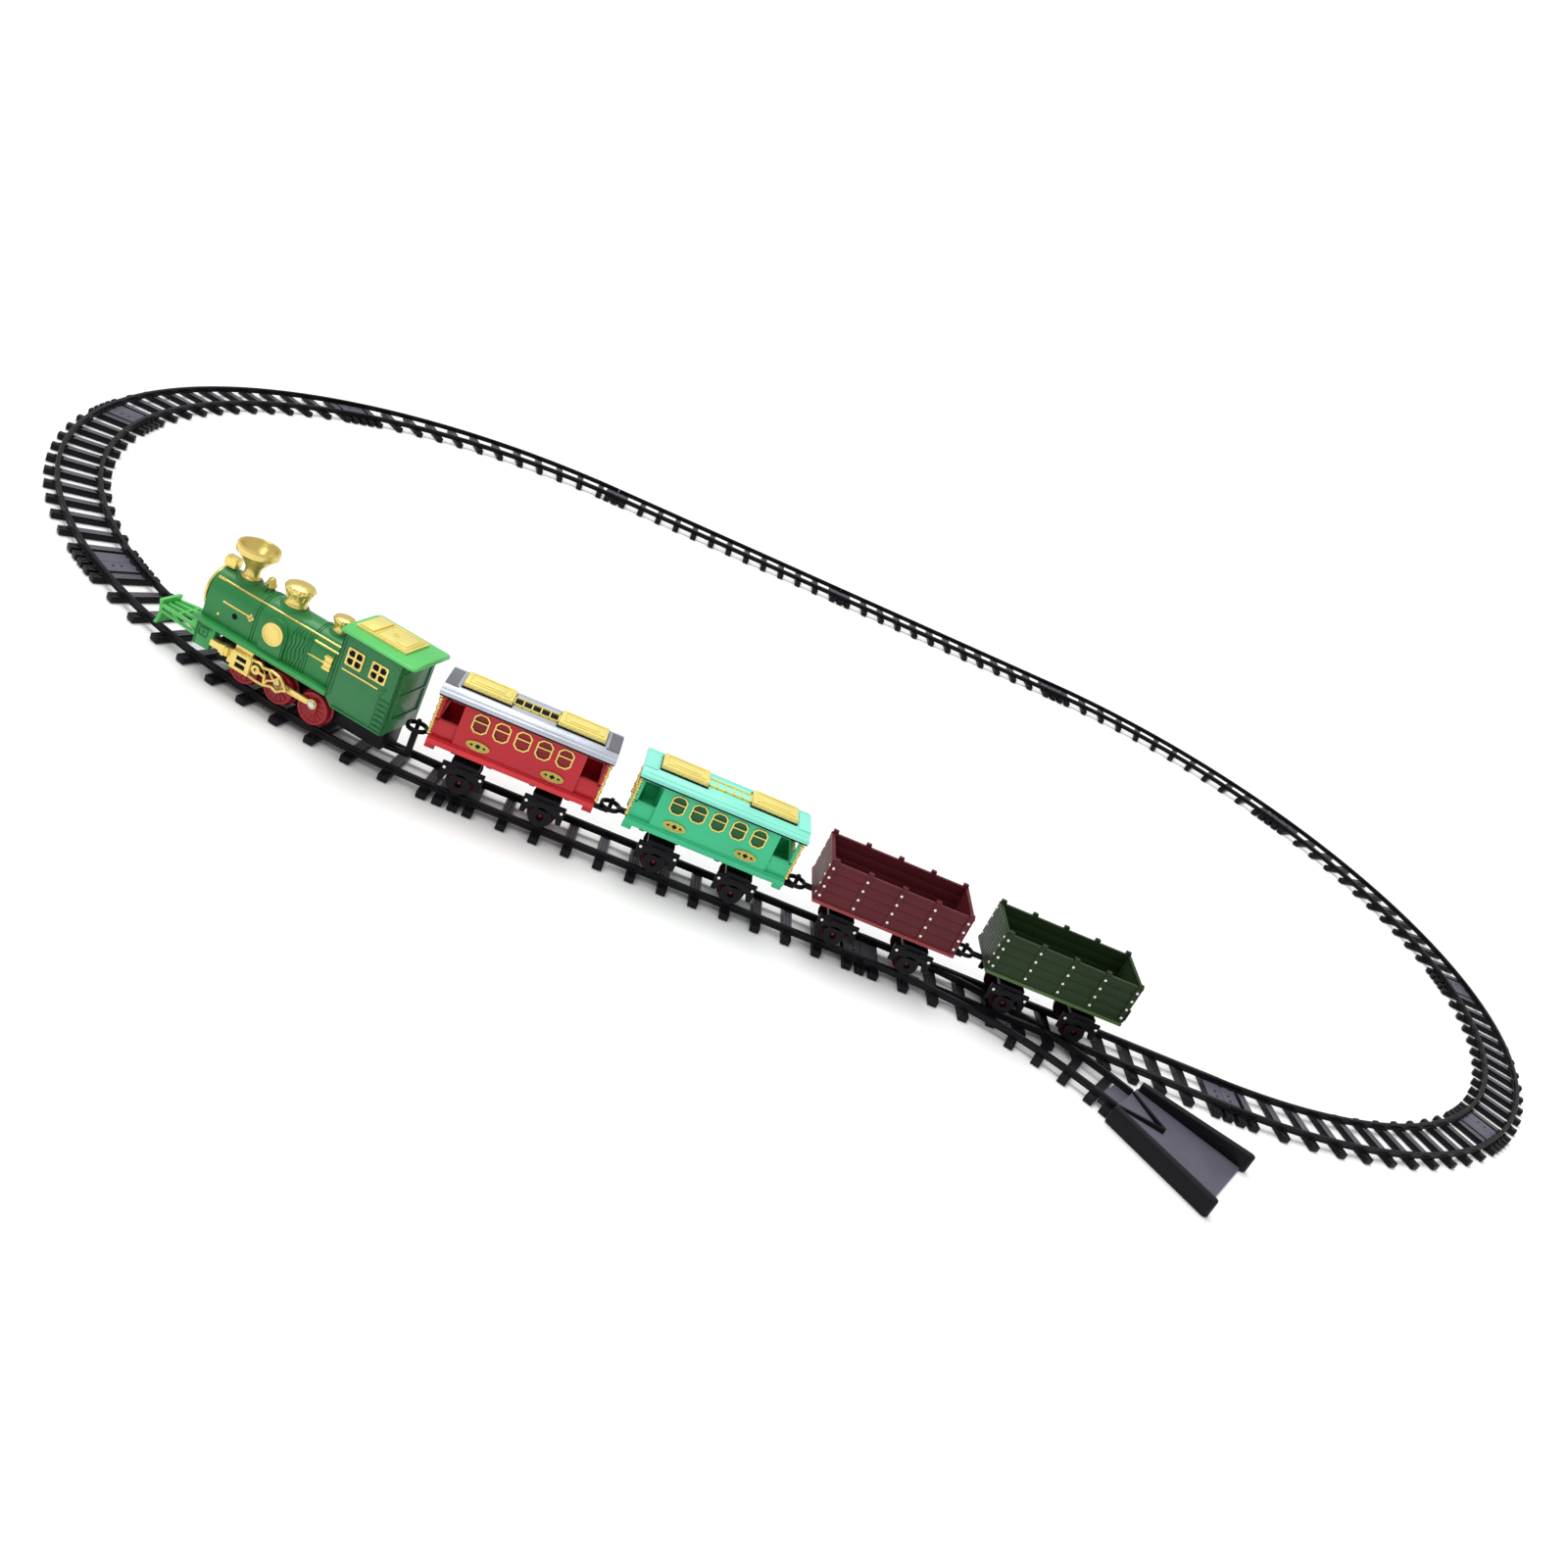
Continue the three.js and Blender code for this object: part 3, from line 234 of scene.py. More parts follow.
# ------------------------------------------------------------------ mesh building
class Shape:
    """A mesh under construction, in a local millimetre frame."""

    def __init__(self):
        self.bm = bmesh.new()

    def loft(self, rings, closed=True, caps=True):
        """Skins rings of points, each ring the same length."""
        rows = [[self.bm.verts.new(p) for p in ring] for ring in rings]
        count = len(rows[0])
        for low, high in zip(rows, rows[1:]):
            for i in range(count if closed else count - 1):
                j = (i + 1) % count
                self.bm.faces.new((low[i], low[j], high[j], high[i]))
        if caps:
            self.bm.faces.new(rows[0][::-1])
            self.bm.faces.new(rows[-1])
        return self

    def box(self, x0, x1, y0, y1, z0, z1):
        ring = [(x0, y0), (x1, y0), (x1, y1), (x0, y1)]
        return self.loft([[(x, y, z) for x, y in ring] for z in (z0, z1)])

    def prism(self, outline, axis, low, high):
        """Pulls a flat outline along x, y or z; its two numbers are the other two axes."""
        def at(a, b, depth):
            return {"x": (depth, a, b), "y": (a, depth, b), "z": (a, b, depth)}[axis]
        return self.loft([[at(a, b, d) for a, b in outline] for d in (low, high)])

    def lathe(self, profile, centre, axis="z", sides=40):
        """Turns [radius, height] points about an axis; a zero radius closes on the axis."""
        def at(r, h, k):
            a = 2 * math.pi * k / sides
            u, v = r * math.cos(a), r * math.sin(a)
            x, y, z = {"z": (u, v, h), "y": (u, h, v), "x": (h, u, v)}[axis]
            return (x + centre[0], y + centre[1], z + centre[2])
        rows = []
        for r, h in profile:
            if r < 1e-6:
                rows.append([self.bm.verts.new(at(0, h, 0))])
            else:
                rows.append([self.bm.verts.new(at(r, h, k)) for k in range(sides)])
        for low, high in zip(rows, rows[1:]):
            for i in range(sides):
                j = (i + 1) % sides
                if len(low) == 1 and len(high) == 1:
                    continue
                if len(low) == 1:
                    self.bm.faces.new((low[0], high[j], high[i]))
                elif len(high) == 1:
                    self.bm.faces.new((low[i], low[j], high[0]))
                else:
                    self.bm.faces.new((low[i], low[j], high[j], high[i]))
        return self

    def peg(self, r, centre, axis, low, high, sides=24, crown=0.0):
        profile = [(0, low), (r, low), (r, high - crown)]
        if crown:
            profile.append((r - crown, high))
        return self.lathe(profile + [(0, high)], centre, axis, sides)

    def ring(self, outer, inner, centre, axis, low, high, sides=40):
        profile = [(outer, low), (outer, high), (inner, high), (inner, low), (outer, low)]
        return self.lathe(profile, centre, axis, sides)

    def bar(self, points, r, sides=10):
        """A round rod through a list of points."""
        points = [Vector(p) for p in points]
        rings = []
        for i, p in enumerate(points):
            ahead = points[min(i + 1, len(points) - 1)] - points[max(i - 1, 0)]
            ahead.normalize()
            guide = Vector((0, 0, 1)) if abs(ahead.z) < 0.9 else Vector((1, 0, 0))
            u = ahead.cross(guide).normalized()
            v = ahead.cross(u).normalized()
            ring = []
            for k in range(sides):
                a = 2 * math.pi * k / sides
                ring.append(p + (u * math.cos(a) + v * math.sin(a)) * r)
            rings.append(ring)
        return self.loft(rings)

    def bead(self, centre, r, sides=12):
        steps = 6
        profile = []
        for k in range(steps + 1):
            a = math.pi * k / steps
            profile.append((r * math.sin(a) if 0 < k < steps else 0, -r * math.cos(a)))
        return self.lathe(profile, centre, "z", sides)

    def dome(self, centre, axis, r, height, sides=16):
        """A shallow round head standing on a face; axis is x, y or z with a sign."""
        sign = -1 if axis[0] == "-" else 1
        steps = 4
        profile = [(0, -0.3 * sign)]
        profile.append((r, -0.3 * sign))
        for k in range(steps + 1):
            a = math.pi / 2 * k / steps
            profile.append((r * math.cos(a) if k < steps else 0, sign * height * math.sin(a)))
        return self.lathe(profile, centre, axis[-1], sides)

    def frame_plate(self, outer, inner, axis, low, high):
        """A flat frame between two outlines with the same number of points."""
        def at(p, depth):
            a, b = p
            return {"x": (depth, a, b), "y": (a, depth, b), "z": (a, b, depth)}[axis]
        rows = [
            [self.bm.verts.new(at(p, d)) for p in points]
            for points, d in ((outer, low), (outer, high), (inner, high), (inner, low))
        ]
        count = len(outer)
        for k in range(4):
            a, b = rows[k], rows[(k + 1) % 4]
            for i in range(count):
                j = (i + 1) % count
                self.bm.faces.new((a[i], a[j], b[j], b[i]))
        return self


def octagon(x, z, w, h, corner):
    return [
        (x - w + corner, z - h), (x + w - corner, z - h), (x + w, z - h + corner),
        (x + w, z + h - corner), (x + w - corner, z + h), (x - w + corner, z + h),
        (x - w, z + h - corner), (x - w, z - h + corner),
    ]


def rounded(x, z, w, h, r, steps=5):
    """A rectangle with round corners, as half sizes."""
    points = []
    for cx, cz, start in ((w - r, -h + r, -90), (w - r, h - r, 0), (-w + r, h - r, 90),
                          (-w + r, -h + r, 180)):
        for k in range(steps + 1):
            a = math.radians(start + 90 * k / steps)
            points.append((x + cx + r * math.cos(a), z + cz + r * math.sin(a)))
    return points


def ellipse(x, z, w, h, steps=28):
    return [(x + w * math.cos(2 * math.pi * k / steps), z + h * math.sin(2 * math.pi * k / steps))
            for k in range(steps)]


def finish_mesh(name, shape, place, material, bevel=0.0, smooth=42):
    """Turns a shape into an object: rounded edges, placed in the row frame, one material."""
    bm = shape.bm
    bmesh.ops.recalc_face_normals(bm, faces=bm.faces)
    mesh = bpy.data.meshes.new(name)
    bm.to_mesh(mesh)
    bm.free()
    obj = bpy.data.objects.new(name, mesh)
    link(obj)
    if bevel:
        edge = obj.modifiers.new("edge", "BEVEL")
        edge.width = bevel
        edge.segments = 2
        edge.limit_method = "ANGLE"
        edge.angle_limit = math.radians(35)
        graph = bpy.context.evaluated_depsgraph_get()
        rounded_mesh = bpy.data.meshes.new_from_object(obj.evaluated_get(graph))
        obj.modifiers.clear()
        obj.data = rounded_mesh
        bpy.data.meshes.remove(mesh)
    obj.data.transform(place)
    obj.data.materials.clear()
    obj.data.materials.append(material)
    for polygon in obj.data.polygons:
        polygon.use_smooth = True
    obj.data.set_sharp_from_angle(angle=math.radians(smooth))
    return obj


def piece(name, shape, place, material, body, replaces=(), bevel=0.0, smooth=42):
    obj = finish_mesh(name, shape, place, material, bevel, smooth)
    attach(obj, body)
    if replaces:
        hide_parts(*replaces)
    return obj


def rounded_copy(node, body, material, bevel):
    """The CAD node's own shape with its edges rounded off, standing in for it."""
    bm = bmesh.new()
    bm.from_mesh(frame["nodes"][node].data)
    bmesh.ops.remove_doubles(bm, verts=bm.verts, dist=1e-6)
    bmesh.ops.dissolve_limit(bm, angle_limit=math.radians(1.5), verts=bm.verts, edges=bm.edges)
    shape = Shape()
    shape.bm.free()
    shape.bm = bm
    return piece(node + "_moulding", shape, Matrix.Identity(4), material, body, (node,),
                 bevel * MM)


# ------------------------------------------------------------------ track
RAIL_SECTION = [
    (-1.2, 3.4), (1.2, 3.4), (1.2, 4.0), (0.65, 4.5), (0.65, 5.5), (1.2, 5.9), (1.2, 6.7),
    (0.9, 7.0), (-0.9, 7.0), (-1.2, 6.7), (-1.2, 5.9), (-0.65, 5.5), (-0.65, 4.5), (-1.2, 4.0),
]


def bent(point, radius):
    """A point of straight track bent round a left-hand curve; a zero radius leaves it."""
    x, y, z = point
    if not radius:
        return point
    angle = x / radius
    return ((radius + y) * math.sin(angle), (radius + y) * math.cos(angle) - radius, z)


def track_rails(length, radius):
    shape = Shape()
    steps = 24 if radius else 1
    for side in (-1, 1):
        rings = []
        for k in range(steps + 1):
            x = 0.15 + (length - 0.3) * k / steps
            rings.append([bent((x, side * RAIL_Y + a, z), radius) for a, z in RAIL_SECTION])
        shape.loft(rings)
    return shape


def sleeper(shape, x, radius, width=5.0, half=SLEEPER_HALF):
    """One sleeper with its rail chairs, across the track at x."""
    def block(x0, x1, y0, y1, z0, z1):
        rings = []
        for z in (z0, z1):
            rings.append([bent(p, radius) for p in
                          ((x0, y0, z), (x1, y0, z), (x1, y1, z), (x0, y1, z))])
        shape.loft(rings)
    block(x - width / 2, x + width / 2, -half, half, 0.0, SLEEPER_TOP)
    for side in (-1, 1):
        for near in (-2.6, 1.3):
            y = side * RAIL_Y + near
            block(x - 1.3, x + 1.3, y, y + 1.3, SLEEPER_TOP - 0.2, SLEEPER_TOP + 0.9)


def sleeper_panel(shape, x, radius, width=5.0):
    """The sleeper's ribbed top between the rails, in three strips along it: the ribs are its
    grain, its paler grey is painted highlight on the top.
    """
    strip = width / 3
    for k in range(3):
        x0 = x - width / 2 + 0.15 + k * strip
        rings = []
        for z in (SLEEPER_TOP - 0.1, SLEEPER_TOP + 0.22):
            rings.append([bent(p, radius) for p in
                          ((x0, -9.4, z), (x0 + strip - 0.3, -9.4, z),
                           (x0 + strip - 0.3, 9.4, z), (x0, 9.4, z))])
        shape.loft(rings)


def end_plates(shape, length, radius):
    for x0, x1 in ((0.15, 10.0), (length - 10.0, length - 0.15)):
        rings = []
        for z in (0.3, SLEEPER_TOP + 0.25):
            rings.append([bent(p, radius) for p in
                          ((x0, -9.9, z), (x1, -9.9, z), (x1, 9.9, z), (x0, 9.9, z))])
        shape.loft(rings)


def end_dots(shape, length, radius):
    for y in (-2.2, 2.2):
        x, y, z = bent((length - 4.2, y, SLEEPER_TOP + 0.2), radius)
        shape.peg(0.85, (x, y, z), "z", 0.0, 0.16, 14)


def snap_tabs(shape, length, radius):
    for x0, x1, y0 in ((length - 1, length + 6, -8.0), (-6, 1, 3.0)):
        rings = []
        for z in (0.0, 2.0):
            rings.append([bent(p, radius) for p in
                          ((x0, y0, z), (x1, y0, z), (x1, y0 + 5, z), (x0, y0 + 5, z))])
        shape.loft(rings)


def sleeper_places(length, count, pitch):
    places = [length / 2 + (i - (count - 1) / 2) * pitch for i in range(count)]
    return [7.5] + places + [length - 7.5]


def build_track_piece(node, place, length, count, pitch, radius):
    piece(node + "_rails", track_rails(length, radius), place, TRACK, "track",
          (node,), smooth=30)
    ties = Shape()
    for x in sleeper_places(length, count, pitch):
        sleeper(ties, x, radius)
    for x in (1.35, length - 1.35):
        sleeper(ties, x, radius, 2.4)
    piece(node + "_sleepers", ties, place, TRACK, "track", bevel=0.35)
    panels = Shape()
    for x in sleeper_places(length, count, pitch)[1:-1]:
        sleeper_panel(panels, x, radius)
    piece(node + "_sleeper_tops", panels, place, SLEEPER, "track", bevel=0.08)
    plates = Shape()
    end_plates(plates, length, radius)
    piece(node + "_plates", plates, place, PLATE, "track", bevel=0.2)
    small = Shape()
    end_dots(small, length, radius)
    snap_tabs(small, length, radius)
    piece(node + "_tabs", small, place, TRACK, "track", bevel=0.1)


def build_track():
    arc = CURVE_R * math.radians(45)
    centre_x = abs(curve_centre.x) / MM
    centre_y = curve_centre.y / MM
    base = Matrix.Scale(MM, 4)
    for k in range(8):
        # A piece starts at the clockwise end of its arc and is drawn bending right.
        side = 1 if k < 4 else -1
        start = -90 + 45 * k + 45
        a = math.radians(start)
        x = side * centre_x + CURVE_R * math.cos(a)
        y = centre_y + CURVE_R * math.sin(a)
        place = turned(base, x, y, start - 90)
        build_track_piece("curve_track_%d" % (k + 1), place, arc, 12, 19.0, CURVE_R)
    for k in range(3):
        low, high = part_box("straight_track_%d" % (k + 1))
        place = turned(base, low.x / MM + 6.0, (low.y + high.y) / 2 / MM, 0)
        build_track_piece("straight_track_%d" % (k + 1), place, 220.0, 11, 17.05, 0)
    rounded_copy("turnout_track", "track", TRACK, 0.25)
    low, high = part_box("turnout_track")
    place = turned(base, low.x / MM + 6.0, (high.y / MM) - SLEEPER_HALF, 0)
    plates = Shape()
    end_plates(plates, 220.0, 0)
    piece("turnout_track_plates", plates, place, PLATE, "track", bevel=0.2)
    dots = Shape()
    end_dots(dots, 220.0, 0)
    piece("turnout_track_dots", dots, place, TRACK, "track")
    return place


def build_ramp(turnout_place):
    radius = 230.0
    arc = math.radians(36.5)
    x = 10 + radius * math.sin(arc)
    y = -radius + radius * math.cos(arc)
    place = turned(turnout_place, x, y, -36.5)
    sheet = Shape()
    top = RAIL_TOP - 1.1
    low = [(0.15, -19, 0), (62, -31, 0), (62, 31, 0), (0.15, 19, 0)]
    high = [(0.15, -19, top), (62, -31, 1.4), (62, 31, 1.4), (0.15, 19, top)]
    sheet.loft([low, high])
    piece("rerailer_ramp_sheet", sheet, place, PLATE, "track",
          ("rerailer_ramp",), bevel=0.15)
    walls = Shape()
    for side in (-1, 1):
        heading = math.atan2(side * 12, 62)
        length = math.hypot(62, 12)
        outline = [(0.4, -2.1), (length, -2.6)]
        for k in range(1, 9):
            a = -math.pi / 2 + math.pi * k / 9
            outline.append((length + 2.6 * math.cos(a), 2.6 * math.sin(a)))
        outline += [(length, 2.6), (0.4, 2.1)]
        c, s = math.cos(heading), math.sin(heading)
        bent_outline = [(0.4 + u * c - v * s, side * 19 + u * s + v * c) for u, v in outline]
        walls.prism(bent_outline, "z", 0.0, 10.0)
        rib = [(0.15, side * 12.3), (0.15, side * 10.3), (24, -side * 0.3), (25, side * 0.9)]
        walls.prism(rib, "z", 0.5, RAIL_TOP)
    piece("rerailer_ramp_walls", walls, place, TRACK, "track", bevel=0.5)
    plate = Shape()
    plate.prism([(-9.5, -9.7), (-0.1, -9.7), (-0.1, 9.7), (-9.5, 9.7)], "z", 0.4, 3.9)
    piece("turnout_branch_plate", plate, place, PLATE, "track", bevel=0.2)


# ------------------------------------------------------------------ wagon running gear
def wheel_pair(shape, r, flange, axle_z, sides=40):
    """Two flanged wheels and their axle about y, dished on the outside."""
    for side in (-1, 1):
        profile = [
            (1.2, 8.2), (flange - 0.3, 8.2), (flange, 8.5), (flange, 8.8), (r, 9.4),
            (r, 12.4), (r - 0.3, 12.75), (r - 1.3, 12.75), (r - 1.7, 12.1), (2.3, 12.1),
            (2.0, 12.75), (1.4, 12.95), (0, 12.95),
        ]
        shape.lathe([(radius, side * y) for radius, y in profile], (0, 0, axle_z), "y", sides)
    shape.peg(1.2, (0, 0, axle_z), "y", -8.4, 8.4, 20)


def build_running_gear(name, word):
    body = name + "_" + word + "_truck"
    pivot = joint_point(name + "_" + word + "_swivel")
    place = placing((pivot.x, pivot.y, 0), (1, 0))
    rounded_copy(body, body, BLACK, 0.22)
    extra, knob_highlights = Shape(), Shape()
    for side in (-1, 1):
        face = side * 15.0
        # Painted highlight: the knobs at the side frame's top corners are coloured near white for
        # the glint on them.
        for x in (-9.1, 9.1):
            knob_highlights.dome((x, side * 15.75, 20.4), "y" if side > 0 else "-y", 0.82, 0.5)
        low, high = sorted((face, face + side * 0.7))
        extra.box(-4.5, 4.5, low, high, 21.2, 22.6)
        low, high = span(side, 14.3, 15.2)
        extra.ring(5.4, 1.7, (0, 0, CAR_AXLE_Z), "y", low, high)
        extra.box(-9.6, 9.6, low, high, 17.8, 21.2)
        for k in range(3):
            x = -2.8 + 2.8 * k
            extra.peg(0.9, (x, 0, 21.9), "y", *sorted((face, face + side * 1.1)), 12)
    piece(body + "_bosses", extra, place, BLACK, body, bevel=0.1)
    piece(body + "_knobs", knob_highlights, place, RIVET_AND_GLINT, body)
    # Painted shade: the wheels take the darker wheel red for the shade under the truck frame, the
    # hub caps the plain wheel red.
    wheels = Shape()
    wheel_pair(wheels, 6.5, 7.4, CAR_AXLE_Z)
    piece(name + "_" + word + "_wheels_turned", wheels, place, SHADED_WAGON_WHEEL,
          name + "_" + word + "_wheels", (name + "_" + word + "_wheelset",))
    hubs = Shape()
    for side in (-1, 1):
        hubs.dome((0, side * 12.95, CAR_AXLE_Z), "y" if side > 0 else "-y", 1.1, 0.6)
    piece(name + "_" + word + "_hub_caps", hubs, place, WHEEL, name + "_" + word + "_wheels")


# ------------------------------------------------------------------ coaches
def coach_shell(shape):
    """Cabin walls with their window recesses, the floor, the platforms' sides and ends."""
    for side in (-1, 1):
        y0, y1 = span(side, 12.1, 13.1)
        shape.box(-31, 31, y0, y1, 29.5, EAVE_Z)
        y0, y1 = span(side, 12.9, 13.6)
        edges = [-31.0]
        for i in range(5):
            x = (i - 2) * 10.7
            edges += [x - 3.4, x + 3.4]
        edges.append(31.0)
        for k in range(0, len(edges), 2):
            shape.box(edges[k], edges[k + 1], y0, y1, 43.2, 52.4)
        shape.box(-31, 31, y0, y1, 29.5, 43.2)
        shape.box(-31, 31, y0, y1, 52.4, EAVE_Z)
        for i in range(5):
            x = (i - 2) * 10.7
            for u in (-1, 1):
                for v in (-1, 1):
                    corner = [(x + u * 3.4, 47.8 + v * 4.6), (x + u * 1.8, 47.8 + v * 4.6),
                              (x + u * 3.4, 47.8 + v * 3.0)]
                    shape.prism(corner, "y", y0, y1)
    for end in (-1, 1):
        x0, x1 = span(end, 29.5, 31)
        shape.box(x0, x1, -12.5, 12.5, 29.5, EAVE_Z)
    shape.box(-42.2, 42.2, -14.2, 14.2, 31.3, 32.3)


def coach_sill(shape):
    shape.box(-42.8, 42.8, -15, 15, FLOOR_Z, 31.5)


def platform_walls(shape):
    """Plain half walls round the end platforms, their corner posts and the steps."""
    for end in (-1, 1):
        def along(x0, x1, y0, y1, z0, z1):
            shape.box(*span(end, x0, x1), *sorted((y0, y1)), z0, z1)
        along(40.3, 42.5, -13.1, 13.1, 40.6, 41.6)
        along(40.6, 42.2, -12.9, 12.9, 31, 32.6)
        along(41.2, 41.7, -12.6, 12.6, 32, 41)
        for side in (-1, 1):
            along(30.5, 42, side * 11.4, side * 13.1, 40.6, 41.6)
            along(30.5, 41, side * 11.6, side * 12.9, 31, 32.6)
            along(30.8, 41.4, side * 12.1, side * 12.6, 32, 41)
            along(40.6, 42.2, side * 11.2, side * 12.8, 31, EAVE_Z)
        along(38, 43, -12.4, -10.8, 24.9, FLOOR_Z + 0.5)
        along(38, 43, 10.8, 12.4, 24.9, FLOOR_Z + 0.5)


def coach_gold(shape):
    """Window frames with their middle bars and beaded end railings."""
    for side in (-1, 1):
        face = 13.6 * side
        y0, y1 = sorted((face - side * 0.5, face + side * 0.55))
        for i in range(5):
            x = (i - 2) * 10.7
            shape.frame_plate(octagon(x, 47.8, 4.0, 5.2, 2.0), octagon(x, 47.8, 3.3, 4.5, 1.7),
                              "y", y0, y1)
            shape.box(x - 3.4, x + 3.4, y0, y1, 48.3, 48.95)
    for end in (-1, 1):
        for side in (-1, 1):
            for k in range(15):
                z = 33 + 22 * k / 14
                shape.bead((end * 42.9, side * 12.2, z), 0.85 if k % 3 else 1.15)
            for k in range(6):
                shape.bead((end * 42.9, side * (10.2 - 2 * k), 42.2), 0.7)
            shape.bar([(end * 42.9, side * 12.2, 32), (end * 42.9, side * 12.2, 55.2)], 0.4)
        shape.bar([(end * 42.9, -12.2, 42.2), (end * 42.9, 12.2, 42.2)], 0.35)
        shape.bar([(end * 42.9, -12.2, 36.5), (end * 42.9, 12.2, 36.5)], 0.35)


def coach_plates(shape):
    """Oval number plates with their rims, left blank; the small diamond and dots on them come with
    the coach's dark marks.
    """
    for side in (-1, 1):
        face = 13.6 * side
        for x in (-19.0, 19.0):
            shape.prism(ellipse(x, 36.4, 5.6, 2.1), "y", *sorted((face - side * 0.3,
                                                                   face + side * 0.6)))
            shape.frame_plate(ellipse(x, 36.4, 5.9, 2.4), ellipse(x, 36.4, 5.1, 1.7), "y",
                              *sorted((face, face + side * 0.95)))


def coach_dark(shape):
    for side in (-1, 1):
        face = 13.6 * side
        y0, y1 = sorted((face, face + side * 0.9))
        for x in (-19.0, 19.0):
            shape.prism([(x - 1.5, 36.4), (x, 35.2), (x + 1.5, 36.4), (x, 37.6)], "y", y0, y1)
            for u in (-3.2, 3.2):
                shape.prism(ellipse(x + u, 36.4, 0.8, 0.45, 12), "y", y0, y1)


def coach_roof(shape):
    """Cambered roof with rolled eaves and a raised middle deck."""
    section = []
    for k in range(7):
        a = math.pi / 2 * k / 6
        section.append((15.8 - 1.5 + 1.5 * math.cos(a), EAVE_Z + 0.9 + 1.5 * math.sin(a)))
    section += [(10.2, EAVE_Z + 3.0), (9.4, EAVE_Z + 3.7)]
    right = [(15.8, EAVE_Z)] + section
    outline = right + [(-y, z) for y, z in reversed(right)]
    shape.prism(outline, "x", -44.5, 44.5)
    for side in (-1, 1):
        shape.box(-43.5, 43.5, *span(side, 13.0, 13.5), EAVE_Z + 2.2, EAVE_Z + 2.9)
    for end in (-1, 1):
        shape.box(*span(end, 37.6, 38.3), -9, 9, EAVE_Z + 3.5, EAVE_Z + 4.2)
    return shape


def vent(shape, x0):
    z = EAVE_Z + 3.7
    shape.loft([
        [(x0, -7.4, z), (x0 + 25, -7.4, z), (x0 + 25, 7.4, z), (x0, 7.4, z)],
        [(x0 + 0.4, -7.0, z + 3), (x0 + 24.6, -7.0, z + 3), (x0 + 24.6, 7.0, z + 3),
         (x0 + 0.4, 7.0, z + 3)],
    ])
    shape.frame_plate(
        [(x0 + 2, -5.4), (x0 + 23, -5.4), (x0 + 23, 5.4), (x0 + 2, 5.4)],
        [(x0 + 2.8, -4.6), (x0 + 22.2, -4.6), (x0 + 22.2, 4.6), (x0 + 2.8, 4.6)],
        "z", z + 2.7, z + 3.6)
    shape.box(x0 + 5, x0 + 20, -2.8, 2.8, z + 2.7, z + 3.5)
    for side in (-1, 1):
        for k in range(7):
            x = x0 + 3.2 + k * 3.1
            shape.box(x, x + 1.6, *span(side, 7.0, 7.45), z + 0.8, z + 2.2)


def build_coach(name, wall, sill, pane, roof, grille):
    place = car_placing(name)
    body = name + "_coach"
    shell = Shape()
    coach_shell(shell)
    piece(name + "_coach_cabin", shell, place, wall, body, (name + "_coach_body",),
          smooth=30)
    edge = Shape()
    coach_sill(edge)
    piece(name + "_coach_sill", edge, place, sill, body, bevel=0.3)
    ends = Shape()
    platform_walls(ends)
    piece(name + "_coach_platforms", ends, place, wall, body, bevel=0.25)
    panes = Shape()
    for side in (-1, 1):
        for i in range(5):
            x = (i - 2) * 10.7
            panes.box(x - 3.4, x + 3.4, *span(side, 12.9, 13.2), 43.2, 52.4)
    piece(name + "_coach_panes", panes, place, pane, body)
    gold = Shape()
    coach_gold(gold)
    piece(name + "_coach_gilding", gold, place, GOLD, body, bevel=0.12)
    plates = Shape()
    coach_plates(plates)
    piece(name + "_coach_plates", plates, place, OLIVE_GOLD, body, bevel=0.1)
    dark = Shape()
    coach_dark(dark)
    # Painted shade: a black strip under each eave and a black line round each vent's foot, for the
    # shade under the roof's edge and the vents. The diamond and dots drawn above are print.
    for side in (-1, 1):
        y0, y1 = span(side, 13.7, 15.6)
        dark.box(-44.2, 44.2, y0, y1, EAVE_Z - 0.8, EAVE_Z + 0.1)
    for x0 in (-36.7, 11.3):
        dark.box(x0, x0 + 25.4, -7.9, 7.9, EAVE_Z + 3.6, EAVE_Z + 4.5)
    piece(name + "_coach_print_and_shadow_lines", dark, place, DARK, body)
    caps = Shape()
    for end in (-1, 1):
        caps.box(*span(end, 37.6, 44.2), -9.6, 9.6, EAVE_Z + 3.5, EAVE_Z + 4.05)
    piece(name + "_coach_roof_ends", caps, place, ROOF_END if grille is DARK else roof, body,
          bevel=0.2)
    top = coach_roof(Shape())
    piece(name + "_coach_roof_shell", top, place, roof, body,
          (name + "_coach_roof",), bevel=0.3)
    vents = Shape()
    vent(vents, -36.5)
    vent(vents, 11.5)
    z = EAVE_Z + 3.7
    vents.box(-11.6, 11.6, -4.2, -3.5, z - 0.2, z + 1.2)
    vents.box(-11.6, 11.6, 3.5, 4.2, z - 0.2, z + 1.2)
    for k in range(6):
        x = -11.6 + 22.5 * k / 5
        vents.box(x, x + 0.7, -4.2, 4.2, z - 0.2, z + 1.2)
    piece(name + "_coach_vents", vents, place, GOLD_PAINT, body,
          (name + "_coach_roof_vents",), bevel=0.2)
    grid = Shape()
    grid.box(-11.4, 11.4, -3.9, 3.9, z - 0.2, z + 0.35)
    piece(name + "_coach_grille_bed", grid, place, grille, body)
    under = Shape()
    under.box(-33, 33, -9.5, -8.3, 25.6, FLOOR_Z + 0.2)
    under.box(-33, 33, 8.3, 9.5, 25.6, FLOOR_Z + 0.2)
    under.box(-10, 10, -6, 6, 25.2, FLOOR_Z + 0.2)
    piece(name + "_coach_underframe", under, place, BLACK, body, bevel=0.2)


